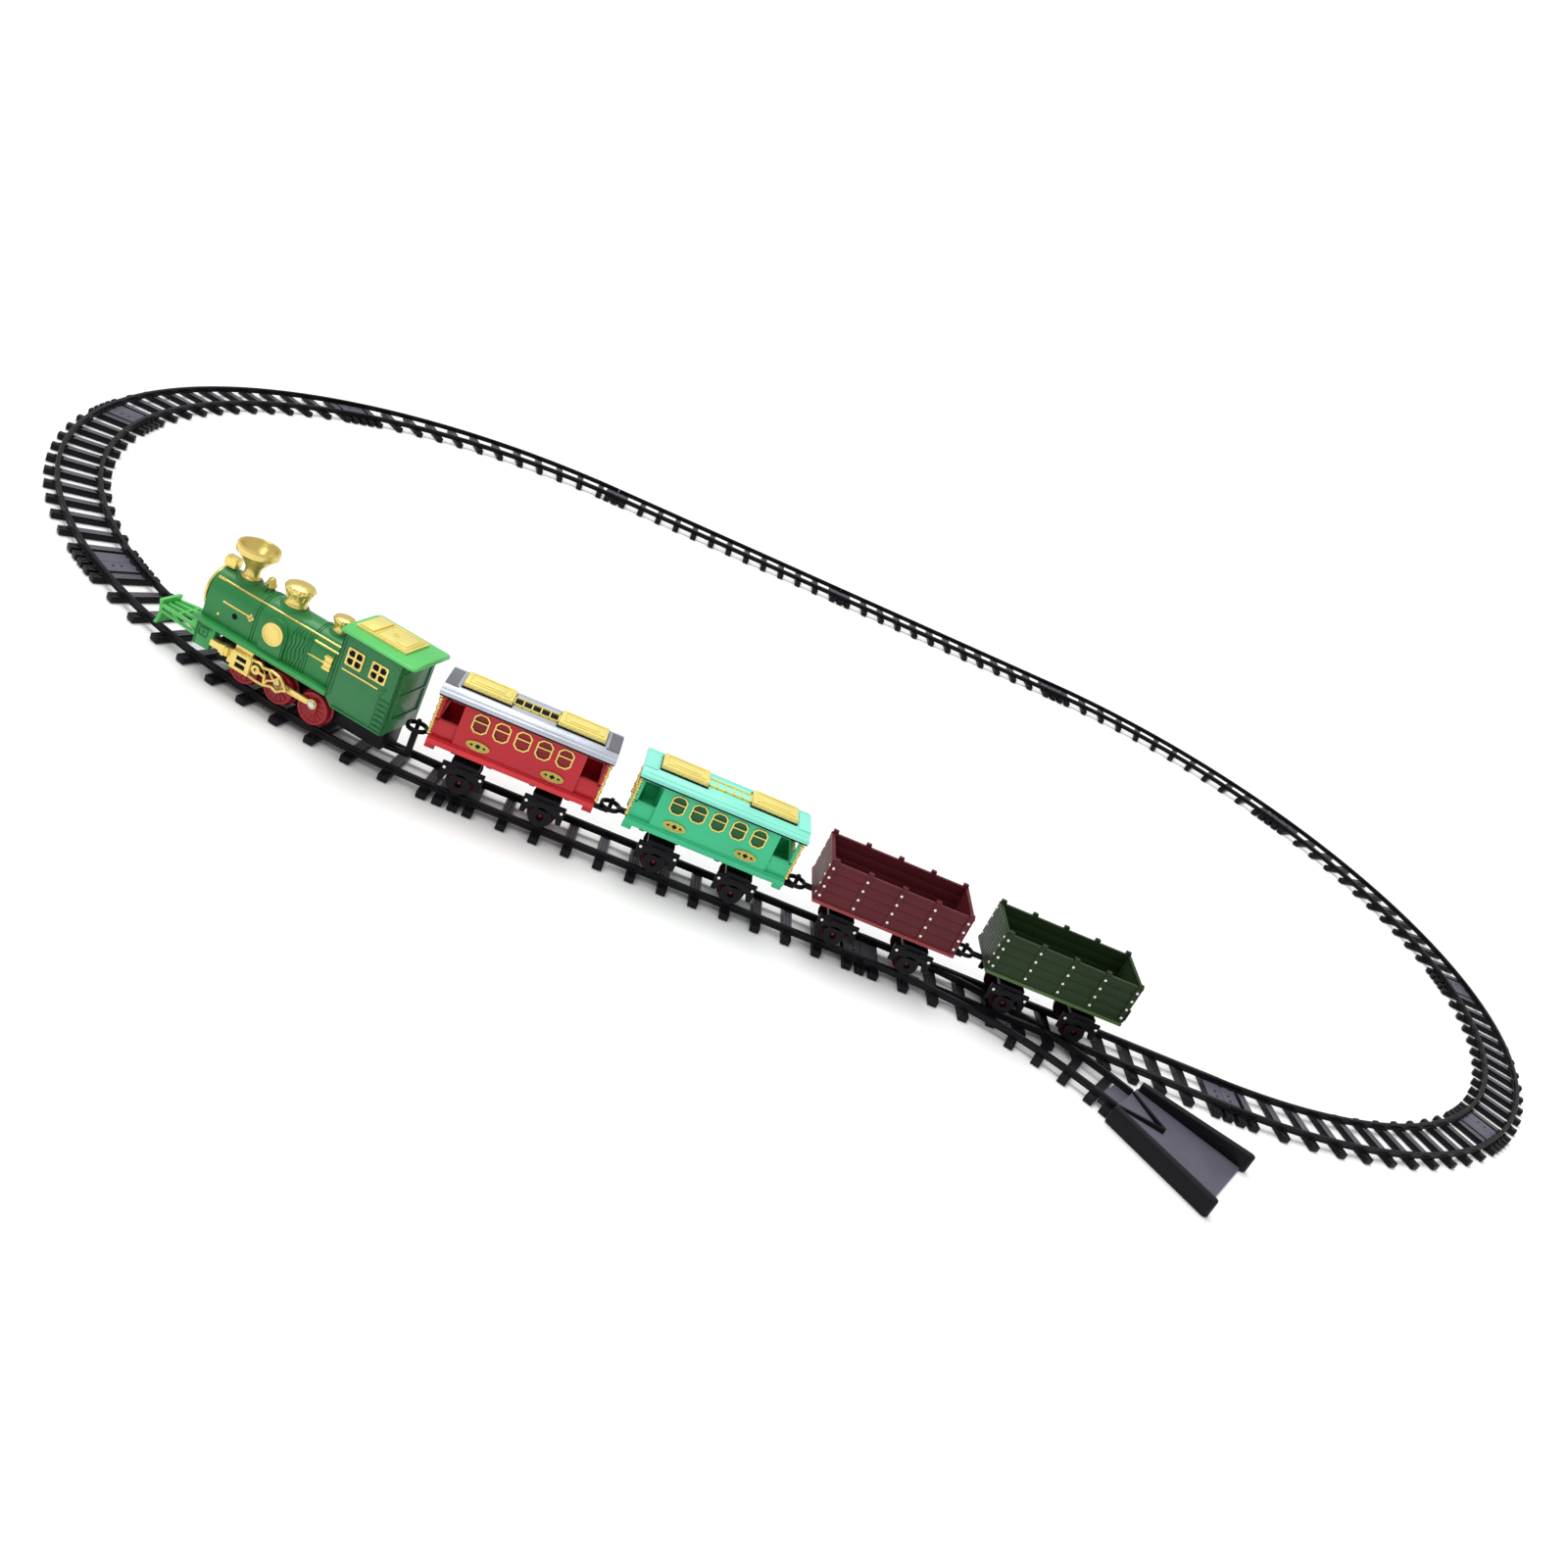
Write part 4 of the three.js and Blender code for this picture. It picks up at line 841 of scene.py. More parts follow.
# ------------------------------------------------------------------ gondolas
def gondola_walls(shape):
    half, y, top = 39.5, 16.4, 53.0
    shape.box(-half, half, -y, y, FLOOR_Z, 31.5)
    for side in (-1, 1):
        y0, y1 = span(side, y - 1.6, y)
        for k in range(4):
            z0 = 31.3 + k * 5.45
            shape.box(-half, half, y0, y1, z0, z0 + 5.38 if k < 3 else top)
    for end in (-1, 1):
        x0, x1 = span(end, half - 1.6, half)
        for k in range(8):
            y0 = -14.8 + k * 3.7
            shape.box(x0, x1, y0 + 0.06, y0 + 3.64, 31.3, top)


def gondola_trim(shape):
    half, y, top = 39.5, 16.4, 53.0
    for side in (-1, 1):
        for i in range(5):
            x = (i - 2) * (79.0 - 4) / 4
            shape.box(x - 1.5, x + 1.5, *span(side, y - 0.2, y + 0.5),
                      FLOOR_Z + 1, top)
            shape.box(x - 1.4, x + 1.4, *span(side, y - 1.5, y + 0.75),
                      top - 0.4, top + 2.0)
        shape.box(-half, half, *span(side, y - 1.8, y + 0.25), top - 0.9,
                  top + 0.25)
    for end in (-1, 1):
        x0, x1 = span(end, half - 1.8, half + 0.2)
        shape.box(x0, x1, -y, y, top - 0.9, top + 0.25)
        x0, x1 = span(end, half - 0.2, half + 0.2)
        shape.box(x0, x1, -y, y, FLOOR_Z, FLOOR_Z + 2)


def gondola_ledges(shape):
    for side in (-1, 1):
        shape.box(-39.7, 39.7, *span(side, 16.4, 17.3), FLOOR_Z, FLOOR_Z + 1.9)


def build_gondola(name, wall, edge):
    place = car_placing(name)
    body = name + "_gondola"
    walls = Shape()
    gondola_walls(walls)
    piece(name + "_gondola_planks", walls, place, wall, body, (name + "_gondola_body",),
          bevel=0.22)
    trim = Shape()
    gondola_trim(trim)
    piece(name + "_gondola_posts", trim, place, wall, body, bevel=0.2)
    ledges = Shape()
    gondola_ledges(ledges)
    piece(name + "_gondola_ledges", ledges, place, edge, body, bevel=0.3)
    rivets = Shape()
    for side in (-1, 1):
        for i in range(5):
            x = (i - 2) * (79.0 - 4) / 4
            for k in range(4):
                z = 33.4 + k * 5.5
                rivets.dome((x, side * 16.9, z), "y" if side > 0 else "-y", 0.74, 0.5)
    for end in (-1, 1):
        for k in range(4):
            for y in (-14.6, 14.6):
                rivets.dome((end * 39.5, y, 33.4 + k * 5.5), "x" if end > 0 else "-x", 0.7, 0.45)
    piece(name + "_gondola_rivets", rivets, place, RIVET_AND_GLINT, body)
    under = Shape()
    under.box(-31, 31, -9.5, -8.3, 25.6, FLOOR_Z + 0.2)
    under.box(-31, 31, 8.3, 9.5, 25.6, FLOOR_Z + 0.2)
    piece(name + "_gondola_underframe", under, place, BLACK, body, bevel=0.2)


# ------------------------------------------------------------------ locomotive
def arch(r, bottom, steps=28, centre=BOILER_Z):
    points = [(-r, bottom), (r, bottom)]
    for k in range(steps + 1):
        a = math.pi * k / steps
        points.append((r * math.cos(a), centre + r * math.sin(a)))
    return points


def on_boiler(degrees, r=BOILER_R):
    """Side and height of a point on the boiler's round top, measured from the crown."""
    a = math.radians(degrees)
    return (r * math.sin(a), BOILER_Z + r * math.cos(a))


def loco_boiler(shape):
    shape.prism(arch(BOILER_R, 29), "x", -27, 51)
    for x in (22.5, -8, -23):
        for step in (-0.9, 0.5):
            shape.prism(arch(BOILER_R + 0.45, 29), "x", x + step, x + step + 0.6)
    for side in (-1, 1):
        for grow, y1 in ((0.0, 12.4), (-0.9, 12.9)):
            pod = [(3.5 - grow, 29), (17.5 + grow, 29)]
            for k in range(15):
                a = math.pi * k / 14
                pod.append((10.5 + (7 + grow) * math.cos(a), 41 + (7 + grow) * math.sin(a)))
            shape.prism(pod, "y", *span(side, 10, y1))
        for k in range(5):
            wave = []
            for j in range(13):
                y, z = 11.4, 30 + j * 1.55
                if z > BOILER_Z:
                    y = math.sqrt(max(0.0, 11.4 ** 2 - (z - BOILER_Z) ** 2))
                wave.append((-5.9 + 1.95 * k + 0.5 * math.sin(j * 1.1 + k), side * y, z))
            shape.bar(wave, 0.62, 8)


def loco_cab(shape):
    """Cab walls with raised panel lines and ladder rungs."""
    for side in (-1, 1):
        outline = [(-59.5, 23.5), (-30.2, 23.5), (-26, 27.2), (-26, CAB_TOP),
                   (-59.5, CAB_TOP)]
        shape.prism(outline, "y", *span(side, 14.2, 15.5))
        y0, y1 = span(side, 15.4, 15.9)
        for x0, x1, z0, z1 in ((-58.6, -27, 61.0, 61.8), (-27.9, -27.0, 29, 61.5),
                               (-58.6, -57.8, 42, 61.5)):
            shape.box(x0, x1, y0, y1, z0, z1)
        for k in range(6):
            z = 26.4 + k * 2.8
            shape.bar([(-58.2, side * 15.9, z), (-53.2, side * 15.9, z)], 0.6, 8)
        shape.box(-52.6, -51.9, y0, y1, 25.4, 44)
        shape.bar([(-52.2, side * 15.9, 43.5), (-54.6, side * 15.9, 46.5)], 0.5, 8)
        shape.bar([(-58.6, side * 15.8, 24.1), (-30.4, side * 15.8, 24.1)], 0.5, 8)
    shape.box(-59.5, -58.2, -15.5, 15.5, 23.5, CAB_TOP)
    shape.box(-27.4, -26, -15.5, 15.5, 27.2, CAB_TOP)
    for z in (31, 44, 57):
        shape.box(-60.0, -59.3, -12.5, 12.5, z, z + 0.9)
    for y in (-12.5, 11.6):
        shape.box(-60.0, -59.3, y, y + 0.9, 31, 57.9)


def cab_windows(frames, panes):
    for side in (-1, 1):
        for x in (-35, -48.5):
            y0, y1 = span(side, 15.3, 16.2)
            frames.frame_plate(rounded(x, 52.5, 4.6, 4.6, 0.8), rounded(x, 52.5, 3.7, 3.7, 0.6),
                               "y", y0, y1)
            frames.box(x - 0.5, x + 0.5, y0, y1, 48.4, 56.6)
            frames.box(x - 4.0, x + 4.0, y0, y1, 52.0, 53.0)
            # Painted shade: a black sheet in each window, for the shaded inside of the cab.
            panes.box(x - 3.9, x + 3.9, *span(side, 15.3, 15.62), 48.6, 56.4)
            for u in (-1.9, 1.9):
                for v in (-1.9, 1.9):
                    for a, b in ((-1, -1), (1, -1), (1, 1), (-1, 1)):
                        corner = [(x + u + a * 1.6, 52.5 + v + b * 1.6),
                                  (x + u + a * 0.8, 52.5 + v + b * 1.6),
                                  (x + u + a * 1.6, 52.5 + v + b * 0.8)]
                        frames.prism(corner, "y", y0, y1)
        frames.box(-50.5, -30, *span(side, 15.3, 15.95), 44.6, 45.4)


def boiler_gold(shape):
    """Gold lines, studs, medallions and brackets on the boiler's sides."""
    for side in (-1, 1):
        face = "y" if side > 0 else "-y"
        y, z = on_boiler(46, BOILER_R + 0.1)
        shape.bar([(49.5, side * y, z), (-26, side * y, z)], 0.55, 8)
        for x in (48.6, 47.2, 45.8):
            shape.dome((x, side * (y + 0.2), z), face, 0.85, 0.6)
        y, z = on_boiler(62, BOILER_R + 0.1)
        shape.bar([(-9.6, side * y, z), (-26, side * y, z)], 0.55, 8)
        shape.bar([(41.4, side * 11.45, 40.9), (25.2, side * 11.45, 40.9)], 0.5, 8)
        for u, v in ((-1.15, 0), (1.15, 0), (0, -1.15), (0, 1.15)):
            shape.dome((25.2 + u, side * 11.4, 40.5 + v), face, 0.95, 0.7)
        shape.dome((42.4, side * 11.3, 33.4), face, 0.95, 0.8)
        shape.bar([(-8.9, side * 11.45, 40.1), (-19, side * 11.45, 40.1)], 0.5, 8)
        shape.box(-22.4, -18.6, *span(side, 11.0, 12.4), 37.4, 44.9)
        for z in (38.4, 41.2, 44.0):
            shape.box(-22.8, -18.2, *span(side, 11.0, 12.8), z - 0.5, z + 0.5)
        shape.peg(5.6, (10.5, 0, 40), "y", *span(side, 12.6, 13.3), 40)
        shape.ring(5.8, 5.1, (10.5, 0, 40), "y", *span(side, 13.0, 13.6), 40)
        shape.ring(3.9, 3.5, (10.5, 0, 40), "y", *span(side, 13.2, 13.42), 40)


def running_board(shape):
    shape.box(-25.7, 53, 9.7, 15.2, 27, 29)
    shape.box(-25.7, 53, -15.2, -9.7, 27, 29)
    shape.box(46, 53, -9.8, 9.8, 27, 29)
    for side in (-1, 1):
        shape.bar([(-25.7, side * 14.6, 27.6), (44, side * 14.6, 27.6), (50, side * 14.0, 27.2),
                   (52.6, side * 12.0, 27.0)], 1.15, 12)
        y0, y1 = span(side, 12.0, 15.2)
        shape.box(40, 49.5, y0, y1, 15, 27.2)
        shape.box(38.6, 40.2, y0, y1, 20, 27.2)
    shape.box(47.5, 49.5, -15.2, 15.2, 15, 27.5)
    shape.box(40, 49.5, -15.2, 15.2, 24.8, 27.5)


def front_apron(shape):
    apron = []
    for k in range(8):
        a = math.pi / 2 * k / 7
        apron.append((49.2 + 3.8 * math.sin(a), 23.2 + 3.8 * math.cos(a)))
    apron += [(49.2, 23.2)]
    shape.prism(apron, "y", -14.4, 14.4)


def buffer_emblem(shape):
    for side in (-1, 1):
        face = "y" if side > 0 else "-y"
        shape.frame_plate(rounded(44.9, 22.8, 2.7, 2.3, 0.7), rounded(44.9, 22.8, 2.1, 1.7, 0.5),
                          "y", *span(side, 15.1, 15.7))
        shape.dome((44.9, side * 15.2, 22.8), face, 1.0, 0.5)


def cowcatcher(shape):
    """Openwork pilot: rails running forward and down from the beam to the flared blade."""
    tip, beam = 76.0, 49.8

    def strut(p, q, r):
        shape.bar([p, q], r, 10)

    for y0, y1 in ((-10.5, -6.0), (-3.6, -2.2), (3.6, 2.2), (10.5, 6.0)):
        strut((beam, y0, 20.6), (tip, y1, 18.8), 1.1)
    for x in (57.0, 65.5):
        along = (x - beam) / (tip - beam)
        z = 20.6 - 1.8 * along
        w = 10.5 - 4.5 * along
        strut((x, -w, z), (x, w, z), 0.95)
    for side in (-1, 1):
        strut((51.0, side * 10.2, 16.6), (75.8, side * 5.6, 15.6), 0.9)
        strut((51.0, side * 10.2, 16.6), (57, side * 9.2, 19.8), 0.9)
        strut((63, side * 8.0, 16.2), (69, side * 7.2, 18.8), 0.8)
    blade = [(-8.0, 9.0), (8.0, 9.0), (6.4, 11.2), (5.6, 14.0), (6.3, 18.2), (7.4, 22.0),
             (-7.4, 22.0), (-6.3, 18.2), (-5.6, 14.0), (-6.4, 11.2)]
    shape.prism(blade, "x", 75.8, 77.8)


def smokestack(shape):
    profile = [
        (0, 0.0), (4.7, 0.0), (4.7, 0.8), (4.1, 1.2), (3.8, 2.2), (3.8, 5.6), (4.3, 6.2),
        (5.0, 7.4), (7.2, 10.2), (9.4, 12.9), (10.1, 13.1), (10.4, 13.5), (10.4, 16.5),
        (10.1, 17.1), (9.2, 17.2), (8.7, 16.6), (8.2, 15.0), (6.0, 12.4), (3.6, 9.8),
        (2.8, 8.4), (0, 8.2),
    ]
    shape.lathe(profile, (38.5, 0, FITTING_Z), "z", 48)
    for k in range(12):
        a = 2 * math.pi * k / 12
        c, s = math.cos(a), math.sin(a)
        shape.bar([(38.5 + 4.4 * c, 4.4 * s, FITTING_Z + 7.6),
                   (38.5 + 7.9 * c, 7.9 * s, FITTING_Z + 12.5)], 0.42, 6)
        shape.bead((38.5 + 9.9 * c, 9.9 * s, FITTING_Z + 14.3), 0.6, 8)


def scalloped_dome(shape, x, r, height, lobes):
    profile = [
        (0, 0), (r * 0.78, 0), (r * 0.78, height * 0.06), (r * 0.72, height * 0.12),
        (r * 0.72, height * 0.26), (r * 0.78, height * 0.42), (r * 0.88, height * 0.56),
        (r * 0.99, height * 0.66), (r, height * 0.8), (r * 0.95, height * 0.88),
        (r * 0.7, height * 0.95), (r * 0.36, height * 0.99), (0, height),
    ]
    shape.lathe(profile, (x, 0, FITTING_Z), "z", 48)
    for k in range(lobes):
        a = 2 * math.pi * k / lobes
        c, s = math.cos(a), math.sin(a)
        shape.bead((x + r * 0.9 * c, r * 0.9 * s, FITTING_Z + height * 0.76), r * 0.17, 10)
        shape.bar([(x + r * 0.74 * c, r * 0.74 * s, FITTING_Z + height * 0.3),
                   (x + r * 0.88 * c, r * 0.88 * s, FITTING_Z + height * 0.6)], r * 0.05, 6)


def fitting_pads(shape):
    """Round pads on the boiler's crown that the stack, domes and bell stand on."""
    for x, r in ((38.5, 6.0), (27, 2.6), (11.6, 6.3), (-15.2, 4.8)):
        shape.lathe([(0, 48), (r + 0.8, 48), (r + 0.8, 52.6), (r, FITTING_Z - 0.05),
                     (0, FITTING_Z - 0.05)], (x, 0, 0), "z", 40)
    for side in (-1, 1):
        shape.bar([(27, side * 3.4, 52.4), (27, side * 2.9, 56.2), (27, side * 1.2, 56.9)], 0.6, 8)


def bell(shape):
    shape.lathe([(0, 0), (1.2, 0), (1.2, 1.7), (3.1, 1.9), (2.9, 2.6), (2.3, 3.6), (1.9, 5.0),
                 (1.3, 5.9), (0.6, 6.2), (0.6, 6.4), (0, 6.4)], (27, 0, FITTING_Z), "z", 32)


def headlamp(shape):
    shape.ring(11.9, 9.9, (51.3, 0, 41.3), "x", 0.02, 1.3, 48)
    shape.box(50.2, 52.4, -1.3, 1.3, 53.4, 55.4)
    shape.loft([
        [(46.4, -2.6, 54.1), (46.4, 2.6, 54.1), (46.4, 2.6, 58.4), (46.4, -2.6, 58.4)],
        [(52.2, -2.8, 53.8), (52.2, 2.8, 53.8), (52.2, 2.8, 58.8), (52.2, -2.8, 58.8)],
    ])
    shape.ring(2.9, 2.2, (52.0, 0, 56.3), "x", 0.0, 0.8, 32)
    shape.box(46.6, 52.6, -1.8, 1.8, 58.2, 59.3)


def smokebox_front(shape):
    shape.lathe([(0, 51.0), (9.8, 51.0), (9.8, 51.6), (8.6, 52.0), (3.0, 52.2), (0, 52.2)],
                (0, 0, 41.3), "x", 44)
    shape.lathe([(0, 52.1), (1.6, 52.1), (1.6, 52.8), (0, 52.8)], (0, 0, 41.3), "x", 20)
    for k in range(10):
        a = 2 * math.pi * (k + 0.5) / 10
        shape.dome((51.7, 8.8 * math.cos(a), 41.3 + 8.8 * math.sin(a)), "x", 0.6, 0.5, 10)


def cab_roof(shape):
    """Cambered roof: a shell that rolls over the sides and narrows at the back."""
    half = []
    for k in range(5):
        a = math.pi / 2 * k / 4
        half.append((17.0 - 1.1 + 1.1 * math.cos(a), CAB_TOP + 0.5 + 1.1 * math.sin(a)))
    half += [(13.4, CAB_TOP + 2.1), (11.0, CAB_TOP + 2.55)]
    outline = [(17.0, CAB_TOP)] + half
    outline = outline + [(-y, z) for y, z in reversed(outline)]
    stations = ((-65.5, 0.86), (-65.2, 0.91), (-64.4, 0.965), (-63.0, 1.0), (-24, 1.0))
    shape.loft([[(x, y * f, z) for y, z in outline] for x, f in stations])


def roof_hatch(shape):
    z = CAB_TOP + 2.6
    def frame_at(x0, x1, w, t, z0, z1):
        shape.frame_plate([(x0, -w), (x1, -w), (x1, w), (x0, w)],
                          [(x0 + t, -w + t), (x1 - t, -w + t), (x1 - t, w - t), (x0 + t, w - t)],
                          "z", z0, z1)
    shape.box(-55.4, -27.1, -10.3, 10.3, z - 0.1, z + 0.8)
    frame_at(-55.5, -27.0, 10.4, 0.9, z + 0.6, z + 1.25)
    shape.box(-54.0, -36.3, -8.9, 8.9, z + 0.7, z + 1.3)
    shape.box(-35.6, -28.5, -8.9, 8.9, z + 0.7, z + 1.85)
    frame_at(-53.4, -36.9, 8.3, 0.5, z + 1.2, z + 1.6)
    shape.box(-52.4, -46.5, -6.4, 6.4, z + 1.2, z + 1.7)
    shape.ring(1.6, 1.0, (-42.6, 0, 0), "z", z + 1.2, z + 1.65, 20)


def driving_wheels(shape, cranked):
    wheel_pair_profile = [
        (1.2, 8.0), (9.1, 8.0), (9.4, 8.3), (9.4, 8.6), (8.5, 9.2), (8.5, 12.3), (8.2, 12.65),
        (7.0, 12.65), (6.7, 12.2), (2.9, 12.2), (2.6, 12.9), (1.6, 13.0), (0, 13.0),
    ]
    for side in (-1, 1):
        shape.lathe([(r, side * y) for r, y in wheel_pair_profile], (0, 0, DRIVER_Z), "y", 48)
        for k in range(12):
            a = 2 * math.pi * k / 12
            p = (2.6 * math.cos(a), side * 12.25, DRIVER_Z + 2.6 * math.sin(a))
            q = (6.9 * math.cos(a), side * 12.25, DRIVER_Z + 6.9 * math.sin(a))
            shape.bar([p, q], 0.42, 6)
        if cranked:
            shape.peg(1.9, (0, 0, DRIVER_Z + 3), "y", *span(side, 12.0, 13.2), 20)
    shape.peg(1.2, (0, 0, DRIVER_Z), "y", -8.2, 8.2, 20)


def crank_pins(shape):
    for side in (-1, 1):
        shape.peg(1.08, (0, 0, DRIVER_Z + 3), "y", *span(side, 12.4, 15.0), 20)
        shape.dome((0, side * 15.0, DRIVER_Z + 3), "y" if side > 0 else "-y", 1.9, 0.6, 24)


def side_rod(shape, side):
    """Fluted rod with ringed eyes, from the rear crank pin to the middle one."""
    y0, y1 = span(side, 13.45, 14.55)
    z = DRIVER_Z + 3
    length = 20.5
    for x in (0, length):
        shape.ring(2.5, 1.32, (x, 0, z), "y", y0, y1, 28)
    shape.prism([(1.7, z - 1.35), (length - 1.7, z - 1.7), (length - 1.7, z + 1.7),
                 (1.7, z + 1.35)], "y", y0, y1)
    r0, r1 = span(side, 14.5, 14.8)
    for v in (-1, 1):
        edge = [(2.4, z + v * 0.65), (length - 2.4, z + v * 0.9), (length - 2.4, z + v * 1.65),
                (2.4, z + v * 1.3)]
        shape.prism(edge if v > 0 else edge[::-1], "y", r0, r1)


def cylinder_gear(shape, side):
    """Cylinder block, its stepped front, piston cover and the looped valve gear behind."""
    def box(x0, x1, y0, y1, z0, z1):
        shape.box(x0, x1, *span(side, y0, y1), z0, z1)
    box(14.4, 25.8, 13.3, 16.4, 14.6, 24.4)
    box(25.4, 28.6, 13.3, 15.6, 15.6, 23.0)
    for x0, x1, z0, z1 in ((14.6, 25.6, 14.8, 16.6), (14.6, 25.6, 22.6, 24.2),
                           (14.6, 17.2, 16.4, 22.8), (22.8, 25.6, 16.4, 22.8),
                           (17.0, 23.0, 19.0, 20.4)):
        box(x0, x1, 16.2, 17.2, z0, z1)
    box(28.3, 33.4, 13.4, 17.0, 18.4, 23.0)
    box(33.2, 39.0, 13.6, 16.8, 19.2, 22.6)
    box(30.0, 31.6, 13.3, 17.4, 18.0, 23.4)
    box(16, 26, 13.3, 15.0, 23, 26.9)
    y = side * 16.3
    shape.ring(2.4, 0.9, (11.6, 0, 20.4), "y", *span(side, 15.7, 17.0), 24)
    shape.bar([(14.6, y, 24.2), (10.4, y, 24.6), (7.6, y, 23.2), (6.3, y, 20.6), (6.0, y, 17.6),
               (5.6, y, 15.6)], 0.8, 8)
    shape.bar([(14.4, y, 15.4), (9.4, y, 14.9), (5.6, y, 15.2), (1.6, y, 16.6), (-2.0, y, 15.6),
               (-4.4, y, 17.6), (-6.4, y, 18.6)], 0.8, 8)
    shape.bar([(8.0, y, 23.6), (3.0, y, 24.4), (-1.6, y, 23.6), (-4.4, y, 21.4),
               (-6.4, y, 18.8)], 0.8, 8)
    shape.bar([(5.6, y, 15.6), (4.2, y, 18.6), (1.4, y, 20.0), (-1.6, y, 23.2)], 0.7, 8)
    shape.bar([(4.6, y, 23.8), (2.2, y, 21.2), (-1.4, y, 19.6), (-2.6, y, 16.4)], 0.65, 8)
    shape.bar([(11.6, y, 20.2), (6.0, y, 19.6)], 0.8, 8)
    shape.bead((-1.2, y, 20.4), 1.5, 12)
    shape.bead((-6.2, y, 18.7), 1.1, 12)


def cylinder_slots(shape, side):
    # Painted shade: black boxes in the two slots of the cylinder's front.
    for z0, z1 in ((16.6, 19.0), (20.4, 22.6)):
        shape.box(17.2, 22.8, *span(side, 16.3, 16.55), z0, z1)


def build_loco():
    body = "locomotive"
    shell = Shape()
    loco_boiler(shell)
    piece("boiler_shell", shell, LOCO, GREEN, body, ("loco_body_shell",), smooth=30)
    cab = Shape()
    loco_cab(cab)
    piece("cab_walls", cab, LOCO, CAB_GREEN, body, bevel=0.3)
    pads = Shape()
    fitting_pads(pads)
    piece("fitting_pads", pads, LOCO, GREEN, body)
    front = Shape()
    smokebox_front(front)
    piece("smokebox_front", front, LOCO, GREEN, body)
    frames, panes = Shape(), Shape()
    cab_windows(frames, panes)
    piece("cab_window_frames", frames, LOCO, GOLD, body, bevel=0.1)
    # The black piece below gathers painted shade in the cab windows, cylinder slots and stack
    # mouth, and a round black spot on each boiler side.
    for side in (-1, 1):
        panes.peg(1.5, (33.6, 0, 36.8), "y", *span(side, 11.0, 11.45), 20)
        cylinder_slots(panes, side)
    # Painted shade: a black disc down in the stack's mouth.
    panes.lathe([(0, 0), (2.6, 0), (2.2, 0.3), (0, 0.4)], (38.5, 0, FITTING_Z + 8.2), "z", 24)
    piece("cab_window_painted_shade", panes, LOCO, DARK, body)
    gold = Shape()
    boiler_gold(gold)
    piece("boiler_gilding", gold, LOCO, GOLD, body)
    board = Shape()
    running_board(board)
    piece("running_board_deck", board, LOCO, LIT_BOARD_GREEN, body, ("running_board",),
          bevel=0.3)
    apron = Shape()
    front_apron(apron)
    piece("front_apron", apron, LOCO, BRIGHT, body, bevel=0.3)
    emblem = Shape()
    buffer_emblem(emblem)
    piece("buffer_emblem", emblem, LOCO, GREEN, body, bevel=0.1)
    pilot = Shape()
    cowcatcher(pilot)
    piece("cowcatcher_rails", pilot, LOCO, BRIGHT, body, ("cowcatcher",),
          bevel=0.2)
    for name, build, node in (
        ("smokestack_funnel", smokestack, "smokestack"),
        ("bell_cast", bell, "bell"),
        ("headlamp_case", headlamp, "headlamp"),
        ("roof_hatch_panels", roof_hatch, "roof_hatch"),
    ):
        shape = Shape()
        build(shape)
        bevel = 0.15 if node in ("headlamp", "roof_hatch") else 0.0
        finish = GOLD_PAINT if node == "roof_hatch" else GOLD
        piece(name, shape, LOCO, finish, body, (node,), bevel=bevel)
    big, small = Shape(), Shape()
    scalloped_dome(big, 11.6, 7.2, 11.5, 12)
    piece("steam_dome_crown", big, LOCO, GOLD, body, ("steam_dome",))
    scalloped_dome(small, -15.2, 5.2, 8.0, 10)
    piece("sand_dome_crown", small, LOCO, GOLD, body, ("sand_dome",))
    lens = Shape()
    lens.lathe([(0, 0), (2.2, 0), (2.0, 0.3), (1.1, 0.6), (0, 0.7)], (52.1, 0, 56.3), "x", 28)
    piece("headlamp_lens", lens, LOCO, LENS, body)
    roof = Shape()
    cab_roof(roof)
    piece("cab_roof_shell", roof, LOCO, BRIGHT, body, ("cab_roof",), bevel=0.3)
    rounded_copy("loco_chassis", body, BLACK, 0.3)
    rounded_copy("power_switch", "switch_slider", BLACK, 0.2)
    rounded_copy("drawbar", "loco_drawbar", BLACK, 0.2)
    for node, material in (("drive_motor", COPPER), ("front_battery_cell", CELL),
                           ("rear_battery_cell", CELL)):
        part = frame["nodes"][node]
        part.data.materials.clear()
        part.data.materials.append(material)
    for word, x in (("front", 20.5), ("middle", 0.0), ("rear", -20.5)):
        place = LOCO @ Matrix.Translation((x, 0, 0))
        wheels = Shape()
        driving_wheels(wheels, word != "front")
        piece(word + "_drivers_turned", wheels, place, WHEEL, word + "_drivers",
              (word + "_driving_wheels",))
        if word != "front":
            pins = Shape()
            crank_pins(pins)
            piece(word + "_crank_pins", pins, place, STEEL, word + "_drivers")
    rear = LOCO @ Matrix.Translation((-20.5, 0, 0))
    for word, side in (("left", 1), ("right", -1)):
        rod = Shape()
        side_rod(rod, side)
        piece(word + "_rod_fluted", rod, rear, GOLD, word + "_rod",
              (word + "_side_rod",), bevel=0.12)
        gear = Shape()
        cylinder_gear(gear, side)
        piece(word + "_valve_gear", gear, LOCO, GOLD, body,
              (word + "_cylinder",), bevel=0.2)


# ------------------------------------------------------------------ stage, light, camera
FLOOR_HALF = 60.0  # metres, far past the edge of the frame
FLOOR_DROP = -0.0005  # metres, so that the floor and the track's underside don't flicker
LIGHT_GIVEN = 0.55  # strength of the white surroundings on the model
LIGHT_SEEN = 1.05  # strength of the same surroundings to the camera
SUN_STRENGTH = 2.0
SUN_SPREAD = 40  # degrees
PHOTO_WIDTH = 1600  # pixels
FOCAL_LENGTH = 1432.57  # pixels, solved from the track's corners
CAMERA_DISTANCE = 863.63  # mm
SENSOR_WIDTH = 36.0  # mm


